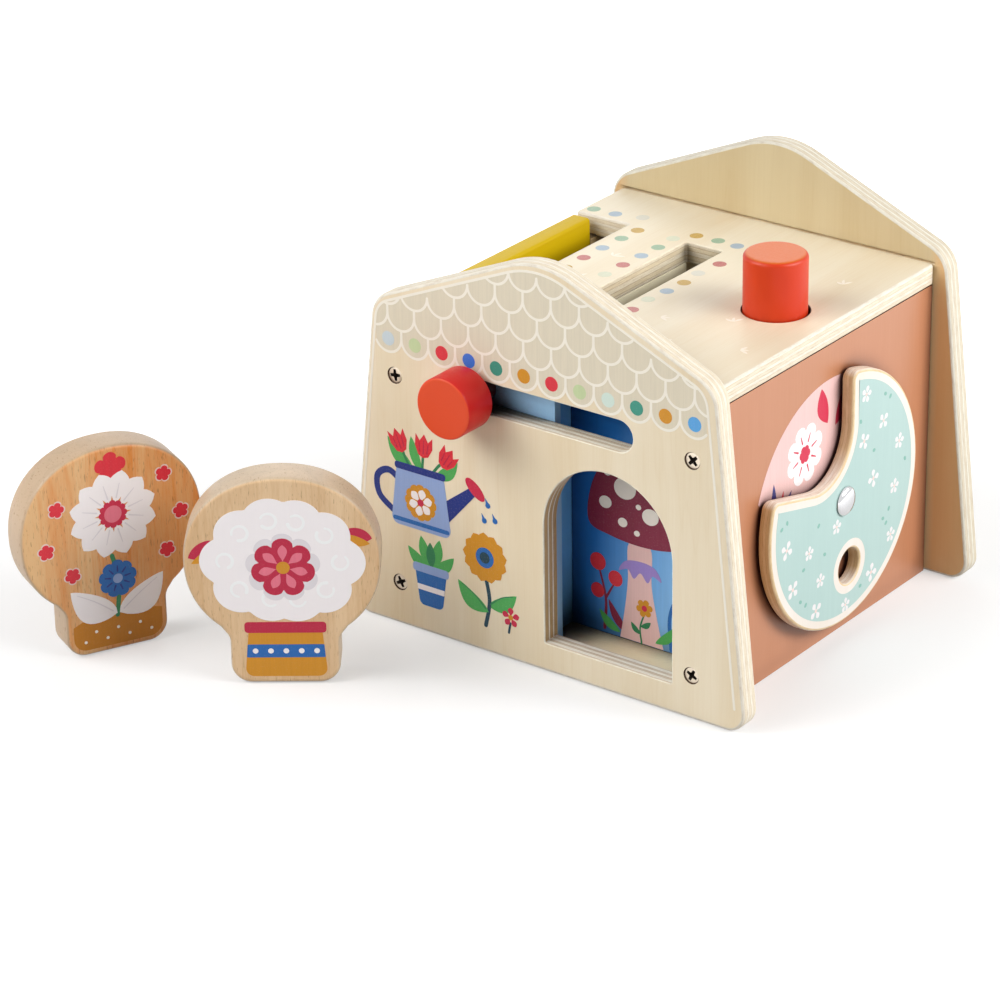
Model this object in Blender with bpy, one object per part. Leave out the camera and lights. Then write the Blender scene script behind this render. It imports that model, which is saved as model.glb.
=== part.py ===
"""Wooden activity house with a sliding door, a push dowel, a turning plate, a swing flap and two figures.

Metres, +Z up, +X along the front to the right, +Y from the front to the back.
The origin is the middle of the underside of the house.
"""

import math

import bmesh
import bpy
from mathutils import Matrix, Vector

# General sizes
ply = 0.0095                    # thickness of every plywood board of the house
thin_board = 0.004              # thickness of the door and of the boards behind the archway
seat_gap = 0.0003               # gap between pieces that touch
cut_overrun = 0.002             # how far a cutter runs past the faces that it cuts
rim_bevel = 0.0010              # eased edge of boards and figures
arc_step = math.radians(15)     # angle of one step on a rounded corner

# House
inner_depth = 0.1637            # between the inner faces of the two gables
house_half_width = 0.0800       # to the outer faces of the side walls
wall_height = 0.1349
rear_face = inner_depth / 2     # inner face of the back gable
front_face = -inner_depth / 2   # inner face of the front gable
board_front = front_face + seat_gap
board_back = rear_face - seat_gap
wall_inner = house_half_width - ply

# Gables
foot_overhang = 0.0224          # how far the gables' feet stand out past the side walls
shoulder_overhang = 0.0062
foot_half_width = house_half_width + foot_overhang
shoulder_half_width = house_half_width + shoulder_overhang
shoulder_height = 0.1489
peak_height = 0.1858            # where the two roof lines would meet
foot_radius = 0.0090
shoulder_radius = 0.0140
peak_radius = 0.0400

# Archway in the front gable
arch_half_width = 0.0322
arch_wall_gap = 0.0049          # from the right wall to the archway
arch_middle = wall_inner - arch_wall_gap - arch_half_width
arch_sill = 0.0132
arch_spring = 0.0670            # height at which the round top starts
arch_corner = 0.0020
arch_arc_step = math.radians(10)

# Slot of the knob
slot_wall_gap = 0.0280          # from the left wall to the slot
slot_length = 0.0888
slot_left = -wall_inner + slot_wall_gap
slot_right = slot_left + slot_length
slot_drop = 0.0174              # from the top of the walls to the slot's middle line
slot_height = wall_height - slot_drop
slot_radius = 0.0070

# Roof
roof_overhang = 0.0008          # past the outer face of each side wall
roof_bottom = wall_height + seat_gap
roof_top = roof_bottom + ply
figure_slot_left = -0.0200
figure_slot_right = -0.0010
figure_slot_front = -0.0505
figure_slot_back = 0.0426
notch_front = -0.0505
notch_back = 0.0457
notch_depth = 0.0274            # from the left wall's outer face
notch_inner = -house_half_width + notch_depth
slot_corner = 0.0010

# Push dowel
plunger_setback = 0.0170        # from the right wall to the dowel's axis
plunger_x = wall_inner - plunger_setback
plunger_y = 0.0005
plunger_radius = 0.0136
plunger_hole_radius = 0.0145
plunger_rise = 0.0255           # above the roof
plunger_edge = 0.0019
plunger_travel = 0.0200
collar_length = 0.0410
collar_inner_side = 0.0160      # from the dowel's axis to the side away from the wall
wall_running_gap = 0.0010
collar_thickness = 0.0050
plunger_screw_head_radius = 0.0035
plunger_screw_head_height = 0.0024
plunger_screw_radius = 0.0015
plunger_screw_depth = 0.0120    # length of the shank inside the dowel
shelf_length = 0.0440
shelf_inner_side = 0.0175
shelf_thickness = 0.0060
shelf_top = 0.0980
spring_radius = 0.0090          # to the middle of the wire
spring_wire_radius = 0.0007
spring_turns = 6
spring_steps = 12               # points of the coil in each turn

# Sliding door and its rebates in floor and roof
rebate_depth = 0.0040
door_front_gap = 0.0004
door_back_gap = 0.0005
door_arch_gap = 0.0009          # from the open door to the archway
door_side_gap = 0.0006          # to the left wall, with the door open
door_front = front_face + door_front_gap
door_back = door_front + thin_board
rebate_back = door_back + door_back_gap
door_bottom = ply - rebate_depth + seat_gap
door_top = roof_bottom + rebate_depth - seat_gap
door_left = -wall_inner + door_side_gap
door_right = arch_middle - arch_half_width - door_arch_gap

# Knob
knob_inset = 0.0350             # from the door's left edge to the knob's axis
knob_x = door_left + knob_inset
knob_radius = 0.0135
knob_length = 0.0162
knob_stand_off = 0.0033         # from the front board to the knob's body
knob_edge = 0.0006
neck_radius = 0.0063

# Boards behind the archway
diorama_setback = 0.0185        # from the inner face of the front gable
diorama_front = front_face + diorama_setback
diorama_arch_gap = 0.0063       # from the side board's face to the archway's left edge
diorama_left = arch_middle - arch_half_width - diorama_arch_gap

# Turning plate on the right wall
disc_y = 0.0038
disc_z = 0.0654
disc_radius = 0.0566
disc_thickness = 0.0060
spacer_thickness = 0.0008
spacer_radius = 0.0080
disc_bore = 0.0023
notch_edge_offset = 0.0050      # from the axis to each straight edge of the cut-out
notch_lean = math.radians(14.2)  # the lower edge's angle to the level line
notch_fillet = 0.0226
disc_corner = 0.0040
finger_y = 0.0046
finger_z = -0.0321
finger_radius = 0.0080
rivet_head_radius = 0.0070
rivet_head_height = 0.0026
rivet_radius = 0.0020
rivet_cap_radius = 0.0050
rivet_cap_height = 0.0018
rivet_inside = 0.0012           # length of the shank inside the cap

# Swing flap in the left wall
flap_length = 0.0880
flap_end_gap = 0.0005
flap_middle_y = -0.0025
flap_pivot_drop = 0.0167        # from the top of the flap to its pins
sill_height = 0.0120
lip_height = 0.0200             # the inner half of the sill stands higher and stops the flap
sill_gap = 0.0006
lip_face = -house_half_width + 0.0051
lip_gap = 0.0004
pin_radius = 0.0015
pin_length = 0.0160
pin_end_gap = 0.0003

# Wood screws
screw_low = 0.0198
screw_drop = 0.0191             # from the top of the walls to the upper screws
screw_high = wall_height - screw_drop
screw_head_radius = 0.0037
screw_head_depth = 0.0024
screw_radius = 0.0017
screw_tip = 0.0020
screw_length = 0.0300
screw_gap = 0.0003
knob_screw_length = 0.0190

# Figures
figure_thickness = 0.0165
figure_head_half_width = 0.0408
figure_head_half_height = 0.0380
figure_head_middle = 0.0560
figure_head_power = 2.15        # 2 is an ellipse, more is squarer
figure_foot_half_width = 0.0228
figure_foot_corner = 0.0085
figure_neck_blend = 0.0035
figure_head_steps = 30
front_figure_place = (-0.0853, -0.1557)
front_figure_turn = math.radians(36)
rear_figure_place = (-0.1661, -0.1754)
rear_figure_turn = math.radians(64)

# Facets of turned pieces
large_round = 40
small_round = 16

axis_turns = {
    "X": Matrix(((0, 0, 1), (1, 0, 0), (0, 1, 0))).to_4x4(),
    "Y": Matrix(((1, 0, 0), (0, 0, 1), (0, 1, 0))).to_4x4(),
    "Z": Matrix.Identity(4),
}


def clear_scene():
    for old in list(bpy.data.objects):
        bpy.data.objects.remove(old, do_unlink=True)


def make_material(name, colour, roughness, metallic=0.0):
    material = bpy.data.materials.new(name)
    material.use_nodes = True
    shader = material.node_tree.nodes["Principled BSDF"]
    shader.inputs["Base Color"].default_value = (*colour, 1.0)
    shader.inputs["Roughness"].default_value = roughness
    shader.inputs["Metallic"].default_value = metallic
    material.diffuse_color = (*colour, 1.0)
    return material


def add_piece(name, mesh_data, place, material, parent=None):
    """Turns a bmesh, in the piece's own frame, into a named object at its place in the world."""
    bmesh.ops.recalc_face_normals(mesh_data, faces=mesh_data.faces[:])
    mesh = bpy.data.meshes.new(name)
    mesh_data.to_mesh(mesh)
    mesh_data.free()
    mesh.shade_smooth()
    mesh.set_sharp_from_angle(angle=math.radians(35))
    piece = bpy.data.objects.new(name, mesh)
    bpy.context.collection.objects.link(piece)
    if material:
        mesh.materials.append(material)
    if parent:
        piece.parent = parent
        piece.location = Vector(place) - parent.location
    else:
        piece.location = place
    return piece


def add_cutter(name, mesh_data, target):
    """Cuts the closed bodies of a bmesh, in the target's own frame, out of the target."""
    cutter = add_piece(name, mesh_data, (0, 0, 0), None)
    cutter.parent = target
    cutter.hide_render = True
    cutter.display_type = "WIRE"
    cut = target.modifiers.new(name, "BOOLEAN")
    cut.operation = "DIFFERENCE"
    cut.solver = "EXACT"
    cut.object = cutter


def add_rim_bevel(piece, width=rim_bevel, segments=1):
    bevel = piece.modifiers.new("eased_rim", "BEVEL")
    bevel.width = width
    bevel.segments = segments
    bevel.limit_method = "ANGLE"
    bevel.angle_limit = math.radians(50)


def add_joint_empty(name, place):
    empty = bpy.data.objects.new(name, None)
    empty.location = place
    bpy.context.collection.objects.link(empty)
    return empty


def arc(centre, radius, start, end, step=arc_step):
    """Points of a round stretch from one angle to the other, both ends included."""
    count = max(1, round(abs(end - start) / step))
    angles = [start + (end - start) * i / count for i in range(count + 1)]
    return [(centre[0] + radius * math.cos(a), centre[1] + radius * math.sin(a)) for a in angles]


def rounded_outline(corners):
    """Closed outline of straight edges between corners (x, y, radius), given anticlockwise."""
    points = []
    for i, (x, y, radius) in enumerate(corners):
        corner = Vector((x, y))
        to_last = (Vector(corners[i - 1][:2]) - corner).normalized()
        to_next = (Vector(corners[(i + 1) % len(corners)][:2]) - corner).normalized()
        if not radius:
            points.append((x, y))
            continue
        half = to_last.angle(to_next) / 2
        centre = corner + (to_last + to_next).normalized() * radius / math.sin(half)
        turns_left = to_last.x * to_next.y - to_last.y * to_next.x < 0
        first = corner + to_last * radius / math.tan(half) - centre
        start = math.atan2(first.y, first.x)
        sweep = math.pi - 2 * half
        points += arc(centre, radius, start, start + (sweep if turns_left else -sweep))
    return points


def rectangle(left, bottom, right, top, radius=0.0):
    return rounded_outline([(left, bottom, radius), (right, bottom, radius),
                            (right, top, radius), (left, top, radius)])


def circle(centre, radius, sides):
    return [(centre[0] + radius * math.cos(math.tau * i / sides),
             centre[1] + radius * math.sin(math.tau * i / sides)) for i in range(sides)]


def prism(outline, low, high, axis, mesh_data=None):
    """Closed solid: an outline pulled along an axis from low to high.

    The outline lies in (Y, Z) for axis X, in (X, Z) for axis Y and in (X, Y) for axis Z.
    """
    mesh_data = mesh_data or bmesh.new()
    turn = axis_turns[axis]
    ends = [[mesh_data.verts.new(turn @ Vector((u, v, w))) for u, v in outline] for w in (low, high)]
    mesh_data.faces.new(ends[0])
    mesh_data.faces.new(reversed(ends[1]))
    for i in range(len(outline)):
        following = (i + 1) % len(outline)
        mesh_data.faces.new((ends[0][following], ends[0][i], ends[1][i], ends[1][following]))
    bmesh.ops.recalc_face_normals(mesh_data, faces=mesh_data.faces[:])
    return mesh_data


def block(low, high, mesh_data=None):
    return prism(rectangle(low[0], low[1], high[0], high[1]), low[2], high[2], "Z", mesh_data)


def turned(profile, axis, sides, offset=(0, 0, 0), mesh_data=None):
    """Closed solid of revolution from (radius, height) pairs; the first and the last close it."""
    mesh_data = mesh_data or bmesh.new()
    turn = Matrix.Translation(offset) @ axis_turns[axis]
    rings = []
    for radius, height in profile:
        if radius:
            ring = [mesh_data.verts.new(turn @ Vector((x, y, height)))
                    for x, y in circle((0, 0), radius, sides)]
        else:
            ring = [mesh_data.verts.new(turn @ Vector((0, 0, height)))]
        rings.append(ring)
    for last, ring in zip(rings, rings[1:]):
        for i in range(sides):
            j = (i + 1) % sides
            if len(last) == 1:
                mesh_data.faces.new((last[0], ring[j], ring[i]))
            elif len(ring) == 1:
                mesh_data.faces.new((last[i], last[j], ring[0]))
            else:
                mesh_data.faces.new((last[i], last[j], ring[j], ring[i]))
    for end in (rings[0], rings[-1]):
        if len(end) > 1:
            mesh_data.faces.new(end)
    bmesh.ops.recalc_face_normals(mesh_data, faces=mesh_data.faces[:])
    return mesh_data


def screw_profile(head_radius, head_depth, radius, length, tip):
    """A countersunk screw from its head's top, at 0, down to its tip, at minus its length."""
    return [(0, 0), (head_radius, 0), (radius, -head_depth), (radius, tip - length), (0, -length)]


def screw_hole_profile(length):
    """What one wood screw needs: its own profile, wider all round by the screw gap."""
    radius = screw_radius + screw_gap
    return [(0, cut_overrun), (screw_head_radius + screw_gap, cut_overrun),
            (screw_head_radius + screw_gap, 0), (radius, -screw_head_depth - screw_gap),
            (radius, -length - screw_gap), (0, -length - screw_gap)]


def gable_outline():
    return rounded_outline([
        (-foot_half_width, 0, foot_radius),
        (foot_half_width, 0, foot_radius),
        (shoulder_half_width, shoulder_height, shoulder_radius),
        (0, peak_height, peak_radius),
        (-shoulder_half_width, shoulder_height, shoulder_radius),
    ])


screw_places = [(side * (house_half_width - ply / 2), height)
                for side in (-1, 1) for height in (screw_low, screw_high)]
screw_names = ["left_low", "left_high", "right_low", "right_high"]


def screw_holes(outward):
    """Cutter for four screws whose heads lie at the piece's Y = 0; outward is where they look."""
    cutter = bmesh.new()
    profile = [(r, outward * h) for r, h in screw_hole_profile(screw_length)]
    for x, z in screw_places:
        turned(profile, "Y", small_round, (x, 0, z), cutter)
    return cutter


def make_front_gable(wood):
    outer = front_face - ply
    gable = add_piece("front_gable", prism(gable_outline(), 0, ply, "Y"), (0, outer, 0), wood)
    add_rim_bevel(gable)
    arch = rounded_outline([(arch_middle - arch_half_width, arch_sill, arch_corner),
                            (arch_middle + arch_half_width, arch_sill, arch_corner),
                            (arch_middle + arch_half_width, arch_spring, 0)])
    arch = arch[:-1] + arc((arch_middle, arch_spring), arch_half_width, 0, math.pi, arch_arc_step)
    add_cutter("cut_archway", prism(arch, -cut_overrun, ply + cut_overrun, "Y"), gable)
    slot = rectangle(slot_left, slot_height - slot_radius, slot_right, slot_height + slot_radius,
                     slot_radius)
    add_cutter("cut_knob_slot", prism(slot, -cut_overrun, ply + cut_overrun, "Y"), gable)
    add_cutter("cut_front_screws", screw_holes(-1), gable)


def make_back_gable(wood):
    outer = rear_face + ply
    gable = add_piece("back_gable", prism(gable_outline(), -ply, 0, "Y"), (0, outer, 0), wood)
    add_rim_bevel(gable)
    add_cutter("cut_back_screws", screw_holes(1), gable)


def make_screws(steel):
    profile = screw_profile(screw_head_radius, screw_head_depth, screw_radius, screw_length, screw_tip)
    for end, outward, face in (("front", -1, front_face - ply), ("back", 1, rear_face + ply)):
        for name, (x, z) in zip(screw_names, screw_places):
            shape = turned([(r, outward * h) for r, h in profile], "Y", small_round)
            add_piece(f"screw_{end}_{name}", shape, (x, face, z), steel)


def wall_screw_holes(side):
    """Cutter, in world places, for the screws of both gables that reach into one side wall."""
    cutter = bmesh.new()
    for outward, face in ((-1, front_face - ply), (1, rear_face + ply)):
        profile = [(r, outward * h) for r, h in screw_hole_profile(screw_length)]
        for x, z in screw_places:
            if x * side > 0:
                turned(profile, "Y", small_round, (x, face, z), cutter)
    return cutter


def make_right_wall(paint):
    shape = block((wall_inner, board_front, 0), (house_half_width, board_back, wall_height))
    wall = add_piece("right_wall", shape, (0, 0, 0), paint)
    add_cutter("cut_right_screws", wall_screw_holes(1), wall)
    bore = turned([(disc_bore, wall_inner - cut_overrun), (disc_bore, house_half_width + cut_overrun)],
                  "X", small_round, (0, disc_y, disc_z))
    add_cutter("cut_wall_rivet", bore, wall)


flap_top = roof_top
pivot_x = -house_half_width + ply / 2
pivot_z = flap_top - flap_pivot_drop
flap_front = flap_middle_y - flap_length / 2
flap_back = flap_middle_y + flap_length / 2


def pin_bores(gap_to_end):
    """Cutter, in world places, for both pins of the flap, open towards the flap's ends."""
    cutter = bmesh.new()
    radius = pin_radius + seat_gap
    half = pin_length / 2 + gap_to_end
    for middle in (flap_front - flap_end_gap / 2, flap_back + flap_end_gap / 2):
        turned([(radius, middle - half), (radius, middle + half)], "Y", small_round,
               (pivot_x, 0, pivot_z), cutter)
    return cutter


def make_left_wall(paint):
    shape = block((-house_half_width, board_front, 0), (-wall_inner, board_back, wall_height))
    wall = add_piece("left_wall", shape, (0, 0, 0), paint)
    doorway = block((-house_half_width - cut_overrun, flap_front - flap_end_gap, lip_height),
                    (-wall_inner + cut_overrun, flap_back + flap_end_gap, wall_height + cut_overrun))
    add_cutter("cut_doorway", doorway, wall)
    rebate = block((-house_half_width - cut_overrun, flap_front - flap_end_gap, sill_height),
                   (lip_face, flap_back + flap_end_gap, lip_height + cut_overrun))
    add_cutter("cut_sill_rebate", rebate, wall)
    add_cutter("cut_left_screws", wall_screw_holes(-1), wall)
    add_cutter("cut_wall_pins", pin_bores(pin_end_gap), wall)


def make_flap(paint, steel):
    pivot = add_joint_empty("flap_swing", (pivot_x, flap_middle_y, pivot_z))
    section = [
        (-ply / 2, sill_height + sill_gap - pivot_z),
        (lip_face - lip_gap - pivot_x, sill_height + sill_gap - pivot_z),
        (lip_face - lip_gap - pivot_x, lip_height + sill_gap - pivot_z),
        (ply / 2, lip_height + sill_gap - pivot_z),
        (ply / 2, flap_pivot_drop),
        (-ply / 2, flap_pivot_drop),
    ]
    shape = prism(section, -flap_length / 2, flap_length / 2, "Y")
    flap = add_piece("flap_door", shape, pivot.location, paint, pivot)
    add_rim_bevel(flap, rim_bevel / 2)
    bores = pin_bores(pin_end_gap)
    bmesh.ops.translate(bores, verts=bores.verts[:], vec=-pivot.location)
    add_cutter("cut_flap_pins", bores, flap)
    for name, middle in (("front", flap_front - flap_end_gap / 2), ("back", flap_back + flap_end_gap / 2)):
        pin = turned([(pin_radius, -pin_length / 2), (pin_radius, pin_length / 2)], "Y", small_round)
        add_piece(f"flap_pin_{name}", pin, (pivot_x, middle, pivot_z), steel)


def make_floor(wood):
    section = [(board_front, 0), (board_back, 0), (board_back, ply), (rebate_back, ply),
               (rebate_back, ply - rebate_depth), (board_front, ply - rebate_depth)]
    half = wall_inner - seat_gap
    add_piece("floor_panel", prism(section, -half, half, "X"), (0, 0, 0), wood)


def make_roof(wood):
    half = house_half_width + roof_overhang
    shape = block((-half, board_front, 0), (half, board_back, ply))
    roof = add_piece("roof_panel", shape, (0, 0, roof_bottom), wood)
    add_rim_bevel(roof)
    low, high = -cut_overrun, ply + cut_overrun
    rebate = block((-wall_inner, board_front - cut_overrun, low), (wall_inner, rebate_back, rebate_depth))
    add_cutter("cut_door_rebate", rebate, roof)
    slot = rectangle(figure_slot_left, figure_slot_front, figure_slot_right, figure_slot_back, slot_corner)
    add_cutter("cut_figure_slot", prism(slot, low, high, "Z"), roof)
    notch = rectangle(-half - cut_overrun, notch_front, notch_inner, notch_back, slot_corner)
    add_cutter("cut_edge_notch", prism(notch, low, high, "Z"), roof)
    hole = prism(circle((plunger_x, plunger_y), plunger_hole_radius, large_round), low, high, "Z")
    add_cutter("cut_plunger_hole", hole, roof)


def make_diorama(paint, side_paint):
    low = ply + seat_gap
    high = roof_bottom - seat_gap
    back = diorama_front + thin_board
    panel = block((diorama_left + seat_gap, diorama_front, low), (wall_inner - seat_gap, back, high))
    add_piece("diorama_panel", panel, (0, 0, 0), paint)
    side = block((diorama_left - thin_board, rebate_back + seat_gap, low), (diorama_left, back, high))
    add_piece("diorama_side", side, (0, 0, 0), side_paint)


def make_door(paint, knob_paint, steel):
    slide = add_joint_empty("door_slide", (knob_x, door_front, slot_height))
    panel = block((door_left - knob_x, 0, door_bottom - slot_height),
                  (door_right - knob_x, thin_board, door_top - slot_height))
    door = add_piece("slide_door", panel, slide.location, paint, slide)
    head = [(r, h + thin_board) for r, h in screw_hole_profile(knob_screw_length)]
    add_cutter("cut_door_screw", turned(head, "Y", small_round), door)

    body_back = front_face - ply - knob_stand_off - door_front
    face = body_back - knob_length
    neck_end = -seat_gap
    profile = [(knob_radius - knob_edge, face), (knob_radius, face + knob_edge),
               (knob_radius, body_back - knob_edge), (knob_radius - knob_edge, body_back),
               (neck_radius, body_back), (neck_radius, neck_end)]
    knob = add_piece("knob", turned(profile, "Y", large_round), slide.location, knob_paint, slide)
    bore_radius = screw_radius + screw_gap
    bore = turned([(bore_radius, thin_board - knob_screw_length - screw_gap), (bore_radius, cut_overrun)],
                  "Y", small_round)
    add_cutter("cut_knob_bore", bore, knob)
    screw = screw_profile(screw_head_radius, screw_head_depth, screw_radius, knob_screw_length, screw_tip)
    shape = turned([(r, h + thin_board) for r, h in screw], "Y", small_round)
    add_piece("knob_screw", shape, slide.location, steel, slide)


def spring_points(bottom, top):
    """Middle line of the coil; its end turns lie flat, between them it climbs evenly."""
    points = []
    count = spring_turns * spring_steps
    for i in range(count + 1):
        climb = min(max((i - spring_steps) / (count - 2 * spring_steps), 0), 1)
        settle = 2 * spring_wire_radius + seat_gap
        low = bottom + settle * min(i / spring_steps, 1)
        high = top - settle - settle * min((count - i) / spring_steps, 1)
        height = low + climb * (high - low) if climb < 1 else high + settle
        angle = math.tau * i / spring_steps
        points.append((spring_radius * math.cos(angle), spring_radius * math.sin(angle), height))
    return points


def make_spring(place, bottom, top, steel):
    """The spring stands on the shelf; its ends lie at bottom and top, counted from the place."""
    curve = bpy.data.curves.new("plunger_spring", "CURVE")
    curve.dimensions = "3D"
    curve.bevel_depth = spring_wire_radius
    curve.bevel_resolution = 1
    curve.use_fill_caps = True
    points = spring_points(bottom + spring_wire_radius, top - spring_wire_radius)
    line = curve.splines.new("POLY")
    line.points.add(len(points) - 1)
    for point, spot in zip(line.points, points):
        point.co = (*spot, 1)
    curve.materials.append(steel)
    spring = bpy.data.objects.new("plunger_spring", curve)
    spring.location = place
    bpy.context.collection.objects.link(spring)


def make_plunger(paint, wood, steel):
    press = add_joint_empty("plunger_press", (plunger_x, plunger_y, roof_top))
    x, y, top = press.location
    bottom = roof_bottom - roof_top
    profile = [(plunger_radius, bottom), (plunger_radius, plunger_rise - plunger_edge),
               (plunger_radius - plunger_edge, plunger_rise)]
    dowel = add_piece("plunger", turned(profile, "Z", large_round), press.location, paint, press)
    bore_radius = plunger_screw_radius + screw_gap
    bore = turned([(bore_radius, bottom - cut_overrun),
                   (bore_radius, bottom + plunger_screw_depth + screw_gap)], "Z", small_round)
    add_cutter("cut_plunger_bore", bore, dowel)

    collar_top = bottom - seat_gap
    collar_bottom = collar_top - collar_thickness
    outer_side = wall_inner - wall_running_gap - x
    collar = block((-collar_inner_side, -collar_length / 2, collar_bottom),
                   (outer_side, collar_length / 2, collar_top))
    collar = add_piece("plunger_collar", collar, press.location, wood, press)
    bore = turned([(bore_radius, collar_bottom - cut_overrun), (bore_radius, collar_top + cut_overrun)],
                  "Z", small_round)
    add_cutter("cut_collar_bore", bore, collar)
    head = collar_bottom - seat_gap
    screw = [(plunger_screw_head_radius, head - plunger_screw_head_height), (plunger_screw_head_radius, head),
             (plunger_screw_radius, head), (plunger_screw_radius, bottom + plunger_screw_depth)]
    add_piece("plunger_screw", turned(screw, "Z", small_round), press.location, steel, press)

    shelf = block((x - shelf_inner_side, y - shelf_length / 2, shelf_top - shelf_thickness),
                  (wall_inner - seat_gap, y + shelf_length / 2, shelf_top))
    add_piece("spring_shelf", shelf, (0, 0, 0), wood)
    make_spring(press.location, shelf_top + seat_gap - top, collar_bottom - seat_gap, steel)


def disc_outline():
    """Outline in (Y, Z) about the rivet: a round plate with a wide cut-out at its upper front."""
    a, r, big = notch_edge_offset, disc_corner, disc_radius
    along = Vector((-math.cos(notch_lean), math.sin(notch_lean)))
    up = Vector((math.sin(notch_lean), math.cos(notch_lean)))
    first = Vector((a + r, math.sqrt((big - r) ** 2 - (a + r) ** 2)))
    last = up * (a - r) + along * math.sqrt((big - r) ** 2 - (a - r) ** 2)
    start = math.atan2(first.y, first.x)
    end = math.atan2(last.y, last.x) - math.tau
    inner_x = a - notch_fillet
    inner = Vector((inner_x, (a + notch_fillet - inner_x * up.x) / up.y))
    up_angle = math.atan2(up.y, up.x)
    points = arc(first, r, math.pi, start)
    points += arc((0, 0), big, start, end, arc_step / 2)[1:]
    points += arc(last, r, end + math.tau, up_angle)[1:]
    points += arc(inner, notch_fillet, up_angle - math.pi, 0)
    return points


def make_disc(paint, wood, chrome):
    spacer_low = house_half_width + seat_gap
    disc_low = spacer_low + spacer_thickness + seat_gap
    disc_high = disc_low + disc_thickness
    head_low = disc_high + seat_gap
    axis = add_joint_empty("disc_spin", (house_half_width, disc_y, disc_z))
    base = axis.location.x

    shape = prism(disc_outline(), disc_low - base, disc_high - base, "X")
    disc = add_piece("disc", shape, axis.location, paint, axis)
    add_rim_bevel(disc)
    low, high = disc_low - base - cut_overrun, disc_high - base + cut_overrun
    holes = prism(circle((0, 0), disc_bore, small_round), low, high, "X")
    prism(circle((finger_y, finger_z), finger_radius, large_round), low, high, "X", holes)
    add_cutter("cut_disc_holes", holes, disc)

    spacer = prism(circle((0, 0), spacer_radius, large_round), spacer_low, spacer_low + spacer_thickness, "X")
    spacer = add_piece("disc_spacer", spacer, (0, disc_y, disc_z), wood)
    bore = prism(circle((0, 0), disc_bore, small_round), spacer_low - cut_overrun,
                 spacer_low + spacer_thickness + cut_overrun, "X")
    add_cutter("cut_spacer_bore", bore, spacer)

    cap_high = wall_inner - seat_gap
    shank_end = cap_high - rivet_inside
    dome = [(rivet_head_radius * math.cos(t), head_low + rivet_head_height * math.sin(t))
            for t in (math.radians(72), math.radians(54), math.radians(36), math.radians(18), 0)]
    profile = [(0, head_low + rivet_head_height), *dome, (rivet_radius, head_low), (rivet_radius, shank_end)]
    add_piece("disc_rivet", turned(profile, "X", small_round + 8), (0, disc_y, disc_z), chrome)

    cap = turned([(rivet_cap_radius, cap_high - rivet_cap_height), (rivet_cap_radius, cap_high)], "X",
                 small_round)
    cap = add_piece("rivet_cap", cap, (0, disc_y, disc_z), chrome)
    bore = prism(circle((0, 0), rivet_radius + seat_gap, small_round), shank_end - seat_gap,
                 cap_high + cut_overrun, "X")
    add_cutter("cut_cap_bore", bore, cap)


def figure_outline():
    """Outline in (X, Z): a wide round head on a short foot with a flat base."""
    power = 2 / figure_head_power
    foot = figure_foot_half_width
    reach = (1 - (foot / figure_head_half_width) ** figure_head_power) ** (1 / figure_head_power)
    neck = figure_head_middle - figure_head_half_height * reach
    head = []
    for i in range(figure_head_steps + 1):
        turn = math.tau * i / figure_head_steps
        s, c = math.sin(turn), -math.cos(turn)
        point = (figure_head_half_width * math.copysign(abs(s) ** power, s),
                 figure_head_middle + figure_head_half_height * math.copysign(abs(c) ** power, c))
        if c > 0 or abs(point[0]) > foot + figure_neck_blend:
            head.append(point)
    lower = neck - figure_neck_blend
    blend = (foot + figure_neck_blend / 4, neck - figure_neck_blend / 4)
    foot_points = rounded_outline([(-foot, 0, figure_foot_corner), (foot, 0, figure_foot_corner),
                                   (foot, lower, 0), (-foot, lower, 0)])[:-2]
    return [*foot_points, (foot, lower), blend, *head, (-blend[0], blend[1]), (-foot, lower)]


def make_figures(wood):
    half = figure_thickness / 2
    for name, place, turn in (("figure_pot", front_figure_place, front_figure_turn),
                              ("figure_daisy", rear_figure_place, rear_figure_turn)):
        lift = add_joint_empty(name + "_lift", (*place, 0))
        lift.rotation_euler.z = turn
        figure = add_piece(name, prism(figure_outline(), -half, half, "Y"), lift.location, wood, lift)
        add_rim_bevel(figure, 2 * rim_bevel, 2)


def main():
    clear_scene()
    natural_wood = make_material("plywood", (0.83, 0.73, 0.55), 0.55)
    beech = make_material("beech", (0.73, 0.47, 0.26), 0.50)
    terracotta = make_material("terracotta_paint", (0.68, 0.31, 0.19), 0.55)
    turquoise = make_material("turquoise_paint", (0.52, 0.79, 0.73), 0.50)
    orange = make_material("orange_paint", (0.75, 0.09, 0.03), 0.40)
    yellow = make_material("yellow_paint", (0.61, 0.43, 0.01), 0.50)
    door_blue = make_material("light_blue_paint", (0.24, 0.50, 0.72), 0.50)
    deep_blue = make_material("deep_blue_print", (0.05, 0.16, 0.42), 0.50)
    side_blue = make_material("mid_blue_paint", (0.06, 0.20, 0.40), 0.50)
    steel = make_material("steel", (0.56, 0.55, 0.53), 0.30, 1.0)
    chrome = make_material("polished_steel", (0.75, 0.75, 0.76), 0.12, 1.0)

    make_front_gable(natural_wood)
    make_back_gable(natural_wood)
    make_screws(steel)
    make_right_wall(terracotta)
    make_left_wall(terracotta)
    make_floor(natural_wood)
    make_roof(natural_wood)
    make_diorama(deep_blue, side_blue)
    make_flap(yellow, steel)
    make_door(door_blue, orange, steel)
    make_plunger(orange, natural_wood, steel)
    make_disc(turquoise, natural_wood, chrome)
    make_figures(beech)


main()
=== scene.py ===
"""Looks of the wooden activity house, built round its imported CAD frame.

Lengths are in millimetres, in the frame's own axes, and MM turns them into Blender's metres. The studio
is in metres. Colours are sRGB, 0 to 255.
"""

import math
import bmesh
import bpy
from mathutils import Matrix, Vector
from mathutils.geometry import tessellate_polygon


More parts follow.
